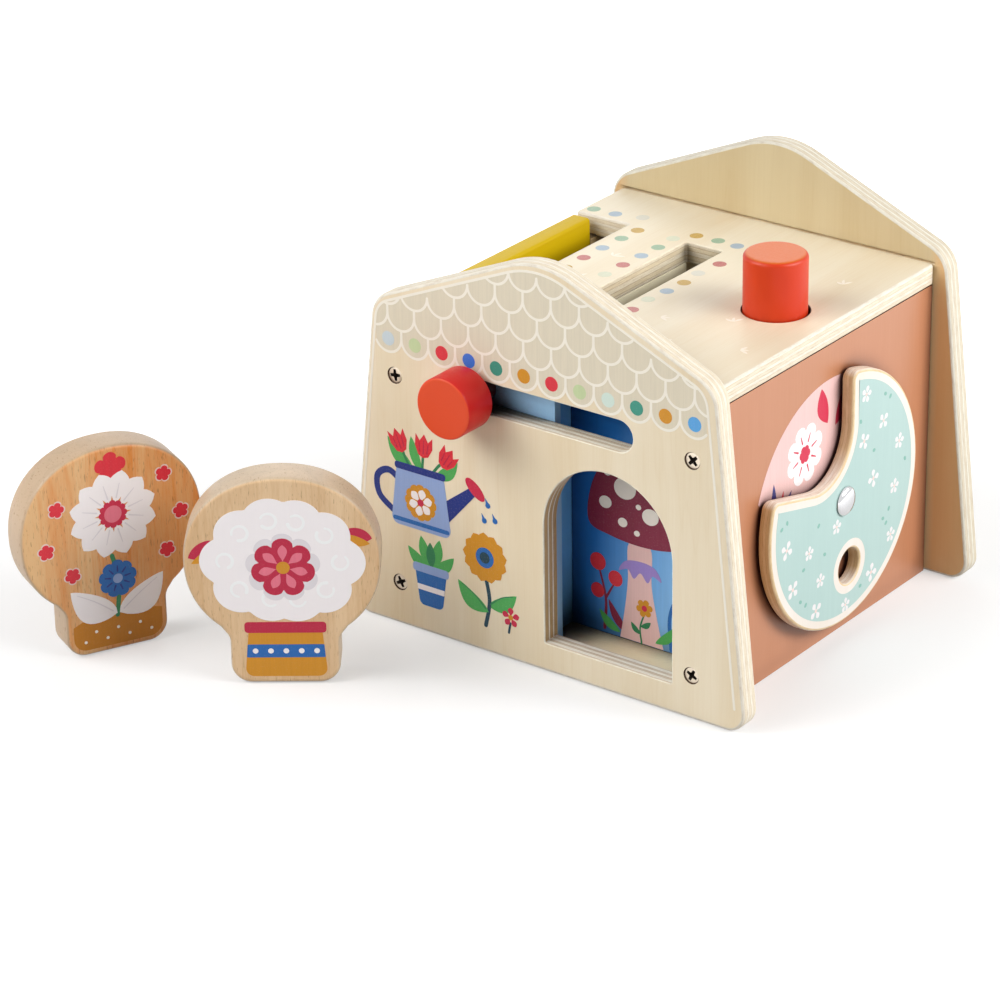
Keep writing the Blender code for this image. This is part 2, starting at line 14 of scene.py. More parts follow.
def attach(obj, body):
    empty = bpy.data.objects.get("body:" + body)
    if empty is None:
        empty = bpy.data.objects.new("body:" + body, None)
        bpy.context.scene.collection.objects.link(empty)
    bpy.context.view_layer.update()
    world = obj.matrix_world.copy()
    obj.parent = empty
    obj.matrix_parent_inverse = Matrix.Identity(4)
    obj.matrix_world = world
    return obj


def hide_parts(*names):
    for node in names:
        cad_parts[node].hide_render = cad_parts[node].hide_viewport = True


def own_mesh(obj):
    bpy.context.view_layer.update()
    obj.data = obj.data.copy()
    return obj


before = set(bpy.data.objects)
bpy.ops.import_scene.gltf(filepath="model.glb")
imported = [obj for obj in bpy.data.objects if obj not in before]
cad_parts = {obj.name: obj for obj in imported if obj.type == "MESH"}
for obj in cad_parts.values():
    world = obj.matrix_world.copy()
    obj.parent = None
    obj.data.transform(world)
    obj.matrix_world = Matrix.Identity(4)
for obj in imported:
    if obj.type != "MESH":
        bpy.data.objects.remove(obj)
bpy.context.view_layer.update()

MM = 0.001

# ---- sizes of the CAD part
PLY = 9.5
FRONT, BACK = -91.35, 91.35                 # outer faces of the gables
FRONT_IN, BACK_IN = FRONT + PLY, BACK - PLY
WALL = 80.0                                 # outer face of the right wall
ROOF_LOW, ROOF_TOP = 135.2, 144.7
ROOF_HALF, ROOF_FRONT, ROOF_BACK = 80.8, -81.55, 81.2
NOTCH_X, NOTCH_BACK = -52.6, 45.7
FIGURE_SLOT_LEFT, FIGURE_SLOT_RIGHT, FIGURE_SLOT_BACK = -20, -1, 42.6
OPENINGS_FRONT = -50.5                      # front ends of the roof's slot and notch
SCREW_X, SCREW_LOW, SCREW_HIGH, SCREW_LENGTH = 75.25, 19.8, 115.8, 30.0
ARCH_X, ARCH_HALF, ARCH_SILL, ARCH_SPRING, ARCH_CORNER = 33.4, 32.2, 13.2, 67.0, 0.7
SLOT_LEFT, SLOT_RIGHT, SLOT_Z, SLOT_R = -42.5, 46.3, 117.5, 7.0
PLUNGER, PLUNGER_R, PLUNGER_TOP = (53.5, 0.5), 13.6, 170.2
KNOB, KNOB_R, KNOB_FACE, KNOB_BACK = (-34.9, 117.5), 13.5, -110.85, -94.65
DOOR_FRONT, DOOR_BACK = -81.75, -77.45
DISC, DISC_LOW, DISC_HIGH, DISC_R = (3.8, 65.4), 81.4, 87.4, 56.6
FINGER, FINGER_R = (4.6, -32.1), 8          # the finger hole, from the middle of the disc
PIVOT, FLAP_FRONT, FLAP_BACK = (-75.25, 128.0), -46.5, 41.5
PANEL_FACE = -63.35                         # front of the board behind the archway
FIGURE_HALF = 8.25


# ---- outlines
def polar(centre, radius, angle):
    """The point at a radius and an angle, in radians, from a centre."""
    return centre[0] + radius * math.cos(angle), centre[1] + radius * math.sin(angle)


def arc(centre, radius, start, end, step):
    """Points of a round stretch, angles in degrees, both ends included."""
    count = max(2, round(abs(end - start) / step))
    return [polar(centre, radius, math.radians(start + (end - start) * i / count)) for i in range(count + 1)]


def circle(centre, radius, count):
    return [polar(centre, radius, math.tau * i / count) for i in range(count)]


def spun(points, centre, turn=0.0):
    """The points turned by degrees about the origin, and then moved to a centre."""
    c, s = math.cos(math.radians(turn)), math.sin(math.radians(turn))
    return [(centre[0] + x * c - y * s, centre[1] + x * s + y * c) for x, y in points]


def rounded(corners, step):
    """Closed outline of straight edges between corners (x, y, radius), anticlockwise."""
    points = []
    for i, (x, y, radius) in enumerate(corners):
        if not radius:
            points.append((x, y))
            continue
        corner = Vector((x, y))
        back, ahead = ((Vector(other[:2]) - corner).normalized()
                       for other in (corners[i - 1], corners[(i + 1) % len(corners)]))
        half = back.angle(ahead) / 2
        centre = corner + (back + ahead).normalized() * radius / math.sin(half)
        first = corner + back * radius / math.tan(half) - centre
        start, sweep = math.degrees(math.atan2(first.y, first.x)), 180 - 2 * math.degrees(half)
        convex = back.x * ahead.y - back.y * ahead.x < 0
        points += arc(centre, radius, start, start + (sweep if convex else -sweep), step)
    return points


def band(low, high, step):
    """A shape between two level edges, each (left, right, height, corner radius)."""
    (left, right, v, radius), (high_left, high_right, high_v, high_radius) = low, high
    return rounded([(left, v, radius), (right, v, radius), (high_right, high_v, high_radius),
                    (high_left, high_v, high_radius)], step)


def tidy(points):
    """The outline without doubled points, and anticlockwise."""
    kept = [p for i, p in enumerate(points) if (Vector(p) - Vector(points[i - 1])).length > 1e-3]
    area = sum(kept[i - 1][0] * p[1] - p[0] * kept[i - 1][1] for i, p in enumerate(kept))
    return kept if area > 0 else kept[::-1]


def grow(points, distance):
    """The closed outline moved outwards by a distance, or inwards by a negative one."""
    if not distance:
        return list(points)
    moved = []
    for i, point in enumerate(points):
        here = Vector(point)
        before = (here - Vector(points[i - 1])).normalized()
        after = (Vector(points[(i + 1) % len(points)]) - here).normalized()
        out = Vector((before.y, -before.x))
        middle = (out + Vector((after.y, -after.x))).normalized()
        moved.append(tuple(here + middle * distance / max(0.4, middle.dot(out))))
    return moved


# ---- mesh making
AS_IS = Matrix.Identity(4)
TURNS = {
    "X": Matrix(((0, 0, 1), (1, 0, 0), (0, 1, 0))).to_4x4(),
    "Y": Matrix(((1, 0, 0), (0, 0, 1), (0, 1, 0))).to_4x4(),
    "Z": AS_IS,
}


class Form:
    """Gathers the closed shells of one piece in a frame of its own, (u, v) across and w along."""

    def __init__(self, place):
        self.mesh = bmesh.new()
        self.place = Matrix.Scale(MM, 4) @ place

    def ring(self, points, w):
        return [self.mesh.verts.new(self.place @ Vector((u, v, w))) for u, v in points]

    def face(self, corners, look=0):
        self.mesh.faces.new(corners).material_index = look

    def skin(self, rings, look=0):
        """Faces between each ring and the next, one of which may be a single point."""
        for low, high in zip(rings, rings[1:]):
            count = max(len(low), len(high))
            for i in range(count):
                j = (i + 1) % count
                if len(low) == 1:
                    self.face((low[0], high[j], high[i]), look)
                elif len(high) == 1:
                    self.face((low[i], low[j], high[0]), look)
                else:
                    self.face((low[i], low[j], high[j], high[i]), look)

    def cap(self, rings, outlines, look=0):
        """Closes a face with holes: the first ring is its edge, the others are the holes."""
        verts = [v for ring in rings for v in ring]
        flat = [[Vector((u, v, 0)) for u, v in outline] for outline in outlines]
        for triangle in tessellate_polygon(flat):
            self.face([verts[i] for i in triangle], look)

    def slab(self, outlines, low, high):
        """A closed plate with sharp edges: its outline, then its holes."""
        ends = [[self.ring(points, w) for points in outlines] for w in (low, high)]
        for pair in zip(*ends):
            self.skin(pair)
        for rings in ends:
            self.cap(rings, outlines)

    def lathe(self, profile, centre, sides):
        """A closed solid of revolution from (radius, w) pairs that start and end on the axis."""
        self.skin([self.ring(circle(centre, radius, sides) if radius else [centre], w) for radius, w in profile])

    def tube(self, path, radius, sides):
        """A round wire along points (u, v, w)."""
        rings = []
        for i, point in enumerate(path):
            here = Vector(point)
            ahead = Vector(path[min(i + 1, len(path) - 1)]) - Vector(path[max(i - 1, 0)])
            side = ahead.cross(Vector((0, 0, 1))).normalized()
            up = side.cross(ahead).normalized()
            rings.append([self.mesh.verts.new(self.place @ (here + side * x + up * y))
                          for x, y in circle((0, 0), radius, sides)])
        self.skin(rings)
        for ring in (rings[0], rings[-1]):
            self.face(ring)

    def finish(self, name, body, looks, slot=None, node=None, sharp=35):
        """Makes the piece, which rides on a body and may stand in for one of its nodes."""
        bmesh.ops.recalc_face_normals(self.mesh, faces=self.mesh.faces[:])
        mesh = bpy.data.meshes.new(name)
        self.mesh.to_mesh(mesh)
        self.mesh.free()
        mesh.shade_smooth()
        mesh.set_sharp_from_angle(angle=math.radians(sharp))
        for look in looks:
            mesh.materials.append(look)
        piece = bpy.data.objects.new(name, mesh)
        bpy.context.collection.objects.link(piece)
        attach(piece, body)
        if node:
            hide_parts(node)
        return piece


RIM_STRIP = 0.3             # a narrow flat strip inside each rounded rim keeps the face's shading flat


def rim_levels(low, high, radius, steps):
    """(inset, w) pairs up the side of a board whose two rims are rounded."""
    if not radius:
        return [(0, low), (0, high)]
    turn = [math.radians(90 * i / steps) for i in range(steps + 1)]
    lower = [(radius * (1 - math.sin(a)), low + radius * (1 - math.cos(a))) for a in turn]
    upper = [(inset, low + high - w) for inset, w in reversed(lower)]
    return [(radius + RIM_STRIP, low), *lower, *upper, (radius + RIM_STRIP, high)]


def board(name, body, place, outline, low, high, rim, looks, slot, node=None, holes=(), shafts=(),
          faces=(0, 0), edge=1, jamb=1, bore=1, steps=3):
    """A plate with rounded rims. Holes are (outline, rim). Shafts are (first, levels), where first is
    "low", "high" or "both" for the faces that the (outline, w) levels open into. Faces (low, high), edge,
    jamb and bore are numbers of looks: jamb is for the sides of the holes, and bore for the shafts'."""
    form = Form(place)
    caps = {"low": [], "high": []}
    for points, radius, sign, look in [(outline, rim, -1, edge), *((*hole, 1, jamb) for hole in holes)]:
        levels = rim_levels(low, high, radius, steps)
        outlines = [grow(tidy(points), sign * inset) for inset, _ in levels]
        rings = [form.ring(o, w) for o, (_, w) in zip(outlines, levels)]
        if radius:
            form.skin(rings[:2], faces[0])
            form.skin(rings[1:-1], look)
            form.skin(rings[-2:], faces[1])
        else:
            form.skin(rings, look)
        caps["low"].append((rings[0], outlines[0]))
        caps["high"].append((rings[-1], outlines[-1]))
    for first, levels in shafts:
        outlines = [tidy(points) for points, _ in levels]
        rings = [form.ring(o, w) for o, (_, w) in zip(outlines, levels)]
        form.skin(rings, bore)
        caps["low" if first == "both" else first].append((rings[0], outlines[0]))
        if first == "both":
            caps["high"].append((rings[-1], outlines[-1]))
        else:
            form.cap([rings[-1]], [outlines[-1]], bore)
    for ends, look in zip(caps.values(), faces):
        form.cap(*zip(*ends), look)
    return form.finish(name, body, looks, slot, node)


# ---- materials
def rgb(colour, share=1.0):
    """An sRGB colour, darkened to a share of its light, for a socket that takes it linear."""
    return (*[share * (c / 255 / 12.92 if c < 10.31 else ((c / 255 + 0.055) / 1.055) ** 2.4) for c in colour],
            1.0)


def stretched(along, length, rest=1):
    return [length if letter == along else rest for letter in "XYZ"]


class Tree:
    """A node tree, with short ways of adding nodes to it."""

    def __init__(self, tree):
        self.tree = tree

    def add(self, kind, inputs=(), **props):
        node = self.tree.nodes.new("ShaderNode" + kind)
        for key, value in props.items():
            setattr(node, key, value)
        for key, value in dict(inputs).items():
            if isinstance(value, bpy.types.NodeSocket):
                self.tree.links.new(value, node.inputs[key])
            else:
                node.inputs[key].default_value = value
        return node

    def math(self, operation, first, second=0.0, third=0.0):
        return self.add("Math", {0: first, 1: second, 2: third}, operation=operation).outputs[0]

    def plus(self, first, second):
        return self.math("ADD", first, second)

    def times(self, first, second):
        return self.math("MULTIPLY", first, second)

    def span(self, value, low, high, to_low=0.0, to_high=1.0):
        return self.add("MapRange", {"Value": value, "From Min": low, "From Max": high,
                                     "To Min": to_low, "To Max": to_high}).outputs["Result"]


class Look(Tree):
    """A Principled material, with short ways of making wood, paint and metal."""

    def __init__(self, name, roughness=0.5, metallic=0.0, specular=0.5):
        self.material = bpy.data.materials.new(name)
        self.material.use_nodes = True
        super().__init__(self.material.node_tree)
        self.shader = self.tree.nodes["Principled BSDF"]
        for key, value in (("Roughness", roughness), ("Metallic", metallic), ("Specular IOR Level", specular)):
            self.shader.inputs[key].default_value = value

    def place(self, stretch=(1, 1, 1)):
        """Object coordinates in millimetres, each divided by its stretch."""
        spot = self.add("TexCoord").outputs["Object"]
        return self.scaled(spot, [1 / MM / s for s in stretch])

    def scaled(self, vector, scale):
        return self.add("Mapping", {"Vector": vector, "Scale": scale}).outputs["Vector"]

    def axis(self, letter, vector=None):
        return self.add("SeparateXYZ", {"Vector": vector or self.place()}).outputs[letter]

    def noise(self, vector, scale, detail, rough=0.5, distortion=0.0):
        return self.add("TexNoise", {"Vector": vector, "Scale": scale, "Detail": detail,
                                     "Roughness": rough, "Distortion": distortion}).outputs["Fac"]

    def speck(self, scale, detail, rough):
        return self.noise(self.place(), scale, detail, rough)

    def grain(self, along, length, scale, rough=0.5, distortion=0.0):
        """Noise that is drawn out along an axis."""
        return self.noise(self.place(stretched(along, length)), scale, 3, rough, distortion)

    def mix(self, factor, first, second, blend="MIX"):
        """The second colour over the first. A colour is a socket, sRGB, or linear with its alpha."""
        first, second = (rgb(c) if isinstance(c, tuple) and len(c) == 3 else c for c in (first, second))
        return self.add("Mix", {0: factor, 6: first, 7: second}, data_type="RGBA", blend_type=blend).outputs[2]

    def ramp(self, factor, stops):
        node = self.add("ValToRGB", {"Fac": factor})
        elements = node.color_ramp.elements
        for i, (position, colour) in enumerate(stops):
            element = elements[i] if i < 2 else elements.new(position)
            element.position, element.color = position, rgb(colour)
        return node.outputs["Color"]

    def occlusion_shade(self, colour, reach, amount, painted_shade, closed=0.2, clear=0.85):
        """The colour, darkened by painted shade where surfaces within reach shut the sky out, by ambient occlusion: by
        the whole amount where less than the share closed of the sky is open, and not at all where more than clear is
        open."""
        openness = self.add("AmbientOcclusion", {"Distance": reach * MM}, samples=12).outputs["AO"]
        return self.mix(self.times(self.span(openness, closed, clear, 1, 0), amount), colour, painted_shade)

    def done(self, colour, height, distance, strength=1.0, rough=None):
        """The finished material: its colour, relief of a height from 0 to 1 over a distance, and, where
        rough is (value, least, most), an uneven roughness."""
        bump = self.add("Bump", {"Height": height, "Distance": distance * MM, "Strength": strength})
        results = {"Base Color": colour, "Normal": bump.outputs["Normal"]}
        if rough:
            results["Roughness"] = self.span(rough[0], 0.3, 0.7, *rough[1:])
        for key, socket in results.items():
            self.tree.links.new(socket, self.shader.inputs[key])
        return self.material


CREAM, SAND = (246, 233, 207), (230, 209, 171)
# colours of painted shade, for corners and for deep recesses
CORNER_SHADE, DEEP_CORNER_SHADE = (58, 40, 16), (16, 10, 4)


def veneer_colour(look, along, light, dark, strength=1.0):
    """Colour of a pale face veneer: broad bands, faint growth lines and short fibres."""
    broad, fibre = look.grain(along, 10, 0.035, 0.55, 0.4), look.grain(along, 40, 1.3, 0.6)
    lines = look.math("PINGPONG", look.times(broad, 14.0), 1.0)
    tone = look.math("MULTIPLY_ADD", look.span(broad, 0.3, 0.7), 0.7 * strength,
                     look.times(look.span(lines, 0.8, 1.0), 0.10 * strength))
    tone = look.plus(tone, look.times(look.span(fibre, 0.45, 0.75), 0.16 * strength))
    return look.mix(tone, light, dark), fibre


def veneer(name, along, light, dark, roughness=0.42, strength=1.0):
    look = Look(name, roughness, specular=0.4)
    colour, fibre = veneer_colour(look, along, light, dark, strength)
    return look.done(colour, fibre, 0.02, 0.6, (fibre, roughness - 0.05, roughness + 0.08))


# tops of the plies across a board, as shares of its thickness
SEVEN_PLIES, FIVE_PLIES = (0.11, 0.26, 0.41, 0.56, 0.71, 0.87, 1.0), (0.17, 0.38, 0.62, 0.83, 1.0)
THICK_CROSS_PLIES = (0.08, 0.30, 0.42, 0.61, 0.73, 0.94, 1.0)


def ply_edge(name, axis, low, tones, thickness=PLY, line=0.010, tops=SEVEN_PLIES, level=None, painted_shade=0.0):
    """The edge of a plywood board: every second ply across its thickness is end grain. Tones are those of the plies
    along, the plies across and the glue. Level holds paler tones for faces that look up or down: painted light. The
    last argument is the amount of painted shade in its corners, by ambient occlusion."""
    look = Look(name, 0.5, specular=0.35)
    wander = look.noise(look.place(stretched(axis, 1, 6)), 0.25, 2)
    depth = look.plus(look.span(look.axis(axis), low, low + thickness), look.span(wander, 0, 1, -0.012, 0.012))

    def stripes(pale, tan, glue):
        stops, position = [], 0.0
        for i, top in enumerate(tops):
            colour = tan if i % 2 else pale
            stops += [(position, colour), (top - 2 * line, colour)]
            if i < len(tops) - 1:
                stops.append((top - line * 0.5, glue))
            position = top + line
        return look.ramp(depth, stops)

    colour = stripes(*tones)
    # faces that look up or down take the paler level tones: painted light
    if level:
        upward = look.math("ABSOLUTE", look.axis("Z", look.add("TexCoord").outputs["Normal"]))
        colour = look.mix(look.span(upward, 0.45, 0.85), colour, stripes(*level))
    grain = look.noise(look.place(stretched(axis, 1, 9)), 1.6, 3, 0.65)
    speck = look.speck(2.2, 2, 0.6)
    colour = look.mix(look.span(grain, 0.42, 0.75, 0, 0.35), colour, (176, 140, 96), "MULTIPLY")
    colour = look.mix(look.span(speck, 0.55, 0.75, 0, 0.18), colour, (150, 112, 70))
    # painted shade in corners and recesses, by ambient occlusion, stronger on faces that look sideways
    if painted_shade and level:
        colour = look.occlusion_shade(colour, 10, look.span(upward, 0.45, 0.85, painted_shade, painted_shade * 0.3), CORNER_SHADE)
        colour = look.occlusion_shade(colour, 30, 0.97, DEEP_CORNER_SHADE, 0.22, 0.42)
    elif painted_shade:
        colour = look.occlusion_shade(colour, 10, painted_shade, CORNER_SHADE)
        colour = look.occlusion_shade(colour, 30, 0.92, (48, 34, 8), 0.38, 0.8)
    return look.done(colour, look.plus(grain, speck), 0.03, 0.5)


def brushed(look, along, colour, deep):
    """Colour of satin paint on wood: a little uneven, with the fibres just showing."""
    fibre = look.grain(along, 30, 0.9, 0.6)
    tone = look.plus(look.span(look.grain(along, 4, 0.03), 0.3, 0.7, 0, 0.5), look.span(fibre, 0.35, 0.7, 0, 0.3))
    return look.mix(tone, colour, deep), fibre


def paint(name, colour, deep, along="Z", roughness=0.45, relief=0.035, specular=0.45, shade=None, low_shade=0.0):
    """Paint on a board. Shade is the (closed, clear) of painted shade over all of it, by ambient occlusion, and the
    last argument is the amount of painted shade near the floor, darker towards the bottom."""
    look = Look(name, roughness, specular=specular)
    base, fibre = brushed(look, along, colour, deep)
    speck = look.speck(0.8, 3, 0.7)
    # painted shade, by ambient occlusion, and more of it towards the floor
    if shade:
        base = look.occlusion_shade(base, 30, 0.97, (4, 6, 12), *shade)
    if low_shade:
        base = look.occlusion_shade(base, 20, look.span(look.axis("Z"), 14, 44, low_shade, 0), (4, 8, 16), 0.3, 0.8)
    return look.done(base, look.plus(look.times(fibre, 0.8), look.times(speck, 0.35)), relief,
                     rough=(speck, roughness - 0.04, roughness + 0.07))


def dowel_paint(name, letter, sign, end, side, side_deep, face, roughness, neck=None):
    """Paint on a dowel, whose end takes it paler than its side: partly end grain, partly painted light of a lit end
    over a shaded side. Below neck it is painted dark, a painted shadow.
    """
    look = Look(name, roughness, specular=0.32)
    speck, along = look.speck(0.8, 3, 0.7), look.times(look.axis(letter), float(sign))
    base = look.mix(look.span(look.grain(letter, 4, 0.05), 0.3, 0.7), side, side_deep)
    base = look.mix(look.span(along, end, end + 0.4), base, face)
    # the neck under the knob's head is painted dark: painted shadow
    if neck:
        base = look.mix(look.span(along, neck - 0.2, neck), (58, 14, 10), base)
    return look.done(base, look.times(speck, 0.35), 0.02, rough=(speck, roughness - 0.04, roughness + 0.07))


def ink(name, colour, wood, along, corner_shaded):
    """Printing ink on lacquered wood: the grain shades it slightly, and it is thin in places. When asked, painted shade
    darkens it where other surfaces close over it, by ambient occlusion.
    """
    look = Look(name, 0.42, specular=0.4)
    fibre, speck = look.grain(along, 30, 1.2, 0.6), look.speck(1.5, 2, 0.6)
    pale = sum(rgb(colour)[:3]) > 2.2
    base = look.mix(look.span(fibre, 0.35, 0.7, 0, 0.1 if pale else 0.5), colour, rgb(colour, 0.88))
    base = look.mix(look.span(speck, 0.55, 0.8, 0, wood), base, CREAM)
    # painted shade, by ambient occlusion
    if corner_shaded:
        base = look.occlusion_shade(base, 12, 0.95, (44, 4, 8), 0.22, 0.88)
    return look.done(base, fibre, 0.003 if pale else 0.01, 0.5, (fibre, 0.39, 0.48))


def metal(name, colour, roughness, scratch=0.02):
    look = Look(name, roughness, 1.0)
    fine = look.speck(3.0, 3, 0.6)
    base = look.mix(look.span(fine, 0.3, 0.7), colour, rgb(colour, 0.86))
    return look.done(base, fine, scratch, 0.4, (fine, roughness * 0.8, roughness * 1.3))


def beech_wood(name, turn, centre, light, dark, fleck_colour, side, lean):
    """Steamed beech: warm, with long growth lines and the short dark flecks of its rays. The turn and the centre are
    the slab's, side is the tone of its rim, and lean makes its face darker towards one end and lighter towards the
    other: painted light and shade."""
    look = Look(name, 0.4, specular=0.4)
    level = look.add("VectorRotate", {"Vector": look.place(), "Angle": -turn},
                     rotation_type="Z_AXIS").outputs["Vector"]
    long = look.scaled(level, (1, 1, 1 / 14))
    broad, fibre = look.noise(long, 0.07, 3, 0.5, 0.5), look.noise(long, 2.0, 3, 0.6)
    lines = look.math("PINGPONG", look.times(broad, 16.0), 1.0)
    fleck = look.noise(look.scaled(level, (1, 0.35, 1 / 7)), 1.9, 2, 0.5)
    tone = look.plus(look.span(broad, 0.3, 0.7, 0, 0.55), look.span(lines, 0.5, 1.0, 0, 0.25))
    tone = look.plus(tone, look.span(fibre, 0.4, 0.75, 0, 0.3))
    # lean: painted light and shade across the face
    tone = look.plus(tone, look.span(look.axis("X", level), centre.x - 40, centre.x + 40, -lean, lean))
    across = look.math("ABSOLUTE", look.math("SUBTRACT", look.axis("Y", level), centre.y))
    base = look.mix(look.span(across, FIGURE_HALF - 0.65, FIGURE_HALF - 0.15), look.mix(tone, side, rgb(side, 0.8)),
                    look.mix(tone, light, dark))
    base = look.mix(look.span(fleck, 0.62, 0.72, 0, 0.5), base, fleck_colour)
    relief = look.math("SUBTRACT", fibre, look.times(look.span(fleck, 0.6, 0.75), 0.6))
    return look.done(base, relief, 0.03, 0.6, (fibre, 0.36, 0.48))


def back_inner_look():
    """Face veneer inside the back gable, redder beyond the side walls: painted reflected light, the red glow of the
    painted walls.
    """
    look = Look("back_inner_veneer", 0.45, specular=0.4)
    middle, fibre = veneer_colour(look, "Z", (218, 202, 164), (205, 184, 141))
    # redder beyond the walls: painted reflected light
    sides, _ = veneer_colour(look, "Z", (230, 192, 140), (218, 175, 118))
    out = look.math("ABSOLUTE", look.axis("X"))
    return look.done(look.mix(look.span(out, WALL - 2, WALL + 4), middle, sides), fibre, 0.02, 0.6)


def panel_look():
    """The gradient on the board behind the archway, from navy at the left to sky blue, darker still behind the front
    board's left part and towards the bottom: painted shade.
    """
    look = Look("panel_gradient_look", 0.42, specular=0.4)
    x, z = look.axis("X"), look.axis("Z")
    soft = look.plus(look.span(x, -4, 66), look.times(look.span(z, 20, 130), -0.35))
    colour = look.ramp(look.span(soft, -0.35, 1.0), [(0.0, (6, 88, 172)), (0.3, (34, 116, 198)),
                                                     (0.6, (108, 172, 234)), (1.0, (166, 214, 250))])
    fibre = look.grain("Z", 30, 1.0, 0.6)
    colour = look.mix(look.span(fibre, 0.4, 0.7, 0, 0.08), colour, (20, 50, 110))
    # painted shade at the far left, behind the front board
    colour = look.mix(look.span(x, -14, 3, 0.97, 0), colour, (4, 12, 34))
    # painted shade, by ambient occlusion, stronger towards the bottom
    return look.done(look.occlusion_shade(colour, 20, look.span(z, 16, 60, 0.85, 0.3), (2, 10, 26)), fibre, 0.015, 0.5)


def floor_look():
    """Face veneer of the floor, darkened in its corners by painted shade, by ambient occlusion."""
    look = Look("floor_veneer", 0.45, specular=0.3)
    colour, fibre = veneer_colour(look, "X", (255, 241, 210), (245, 226, 184))
    return look.done(look.occlusion_shade(colour, 20, 0.97, DEEP_CORNER_SHADE, 0.4, 0.72), fibre, 0.02, 0.6)


def wall_paint(name, outward):
    """Painted outside, bare plywood inside: outward is the side of the wall that is painted. Both are darkened by
    painted shade, by ambient occlusion, where other parts close over them, the paint most under and round the turning
    plate.
    """
    look = Look(name, 0.36, specular=0.6)
    painted, fibre = brushed(look, "Z", (191, 131, 97), (183, 121, 84))
    # painted shade, by ambient occlusion, less near the floor
    painted = look.occlusion_shade(painted, 12, look.span(look.axis("Z"), 1, 12, 0.1, 0.95), (44, 4, 2), 0.25, 0.9)
    bare, _ = veneer_colour(look, "Z", (230, 206, 160), (206, 174, 122), 1.1)
    # painted shade inside, by ambient occlusion
    bare = look.occlusion_shade(bare, 14, 0.8, (40, 26, 12))
    out = look.span(look.times(look.axis("X"), outward), WALL - 0.8, WALL - 0.5)
    return look.done(look.mix(out, bare, painted), fibre, 0.03)


# tones of plywood edges: plies along, plies across and glue
SOFT_EDGE = (239, 232, 217), (232, 221, 198), (208, 190, 158)
DIM_EDGE = (228, 224, 210), (218, 208, 186), (190, 172, 138)
JAMB = (255, 250, 232), (212, 180, 132), (174, 142, 100)
# paler tones for jamb faces that look up or down: painted light
JAMB_LIT_LEVEL = (228, 212, 186), (255, 250, 234), (204, 182, 150)
ROOF_JAMB = (242, 232, 208), (238, 224, 192), (184, 158, 116)
DISC_SIDE = (232, 206, 162), (222, 194, 148), (202, 170, 124)
# paler tones for plate edges that look up or down: painted light
DISC_LIT_LEVEL = (246, 236, 222), (238, 222, 204), (216, 192, 168)

face_ply = veneer("face_veneer", "Z", CREAM, SAND)
inner_ply = veneer("inner_veneer", "Z", (222, 205, 166), (208, 186, 142), 0.45)
roof_ply = veneer("roof_veneer", "Y", (234, 224, 201), (222, 203, 169))
guide_ply = veneer("slot_guide_veneer", "Y", (250, 243, 218), (232, 220, 184), 0.5, 1.2)
disc_wood = veneer("turning_plate_veneer", "Z", (238, 231, 224), (230, 219, 205))
# the screw bores are painted dark: painted shade in the countersinks
shaded_bore_wood = veneer("screw_bore_look", "Z", (74, 50, 28), (58, 38, 20), 0.6)
front_edge = ply_edge("front_board_edge", "Y", FRONT, SOFT_EDGE)
# the front board's jambs and the roof's take painted shade in their corners, and jamb and plate edge faces that look up
# or down take paler level tones, painted light
front_jamb = ply_edge("front_jamb", "Y", FRONT, JAMB, PLY, 0.014, THICK_CROSS_PLIES, JAMB_LIT_LEVEL, 0.6)
back_edge = ply_edge("back_board_edge", "Y", BACK_IN, DIM_EDGE)
roof_edge = ply_edge("roof_board_edge", "Z", ROOF_LOW, SOFT_EDGE)
roof_jamb = ply_edge("roof_jamb", "Z", ROOF_LOW, ROOF_JAMB, PLY, 0.012, FIVE_PLIES, painted_shade=0.9)
disc_edge = ply_edge("turning_plate_edge", "X", DISC_LOW, DISC_SIDE, DISC_HIGH - DISC_LOW, 0.014, FIVE_PLIES,
                     DISC_LIT_LEVEL)
# the ends of the push dowel and the knob are paler than their sides, partly painted light, and the knob's neck is
# darker: painted shadow
orange = dowel_paint("orange_paint_look", "Z", 1, PLUNGER_TOP - 0.5, (214, 62, 20), (200, 48, 16),
                     (209, 99, 22), 0.35)
knob_orange = dowel_paint("knob_paint_look", "Y", -1, -KNOB_FACE - 0.55, (216, 30, 24), (200, 20, 20),
                          (226, 74, 32), 0.36, -KNOB_BACK - 0.05)
yellow = paint("yellow_look", (206, 174, 0), (194, 160, 0), "Y", relief=0.03, specular=0.16)
# the door takes painted shade where the front board and the knob close over it, and the side board painted shade
# towards the floor
door_blue = paint("door_look", (168, 216, 252), (156, 204, 246), shade=(0.10, 0.27))
side_blue = paint("side_board_look", (118, 194, 254), (104, 180, 250), low_shade=0.95)
turquoise = paint("turquoise_look", (180, 206, 201), (170, 198, 193), roughness=0.4, relief=0.015)
screw_steel = metal("screw_steel_look", (226, 212, 192), 0.34)
# the cross recesses of the screw heads are dark: painted shade
recess_shade_steel = metal("screw_recess_look", (48, 42, 38), 0.6)
rivet_steel = metal("rivet_steel_look", (226, 226, 228), 0.07, 0.004)
spring_steel = metal("spring_steel_look", (190, 190, 192), 0.22)

for node, node_look in (
        ("right_wall", wall_paint("right_wall_look", 1)), ("left_wall", wall_paint("left_wall_look", -1)),
        ("floor_panel", floor_look()), ("diorama_panel", panel_look()), ("diorama_side", side_blue),
        ("slide_door", door_blue), ("flap_pin_front", screw_steel), ("flap_pin_back", screw_steel),
        ("plunger_collar", inner_ply), ("spring_shelf", inner_ply), ("disc_spacer", inner_ply),
        ("rivet_cap", screw_steel)):
    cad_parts[node].data.materials[0] = node_look

# ---- boards
GABLE = rounded([(-102.4, 0, 9), (102.4, 0, 9), (86.2, 148.9, 14), (0, 185.8, 40), (-86.2, 148.9, 14)], 5)


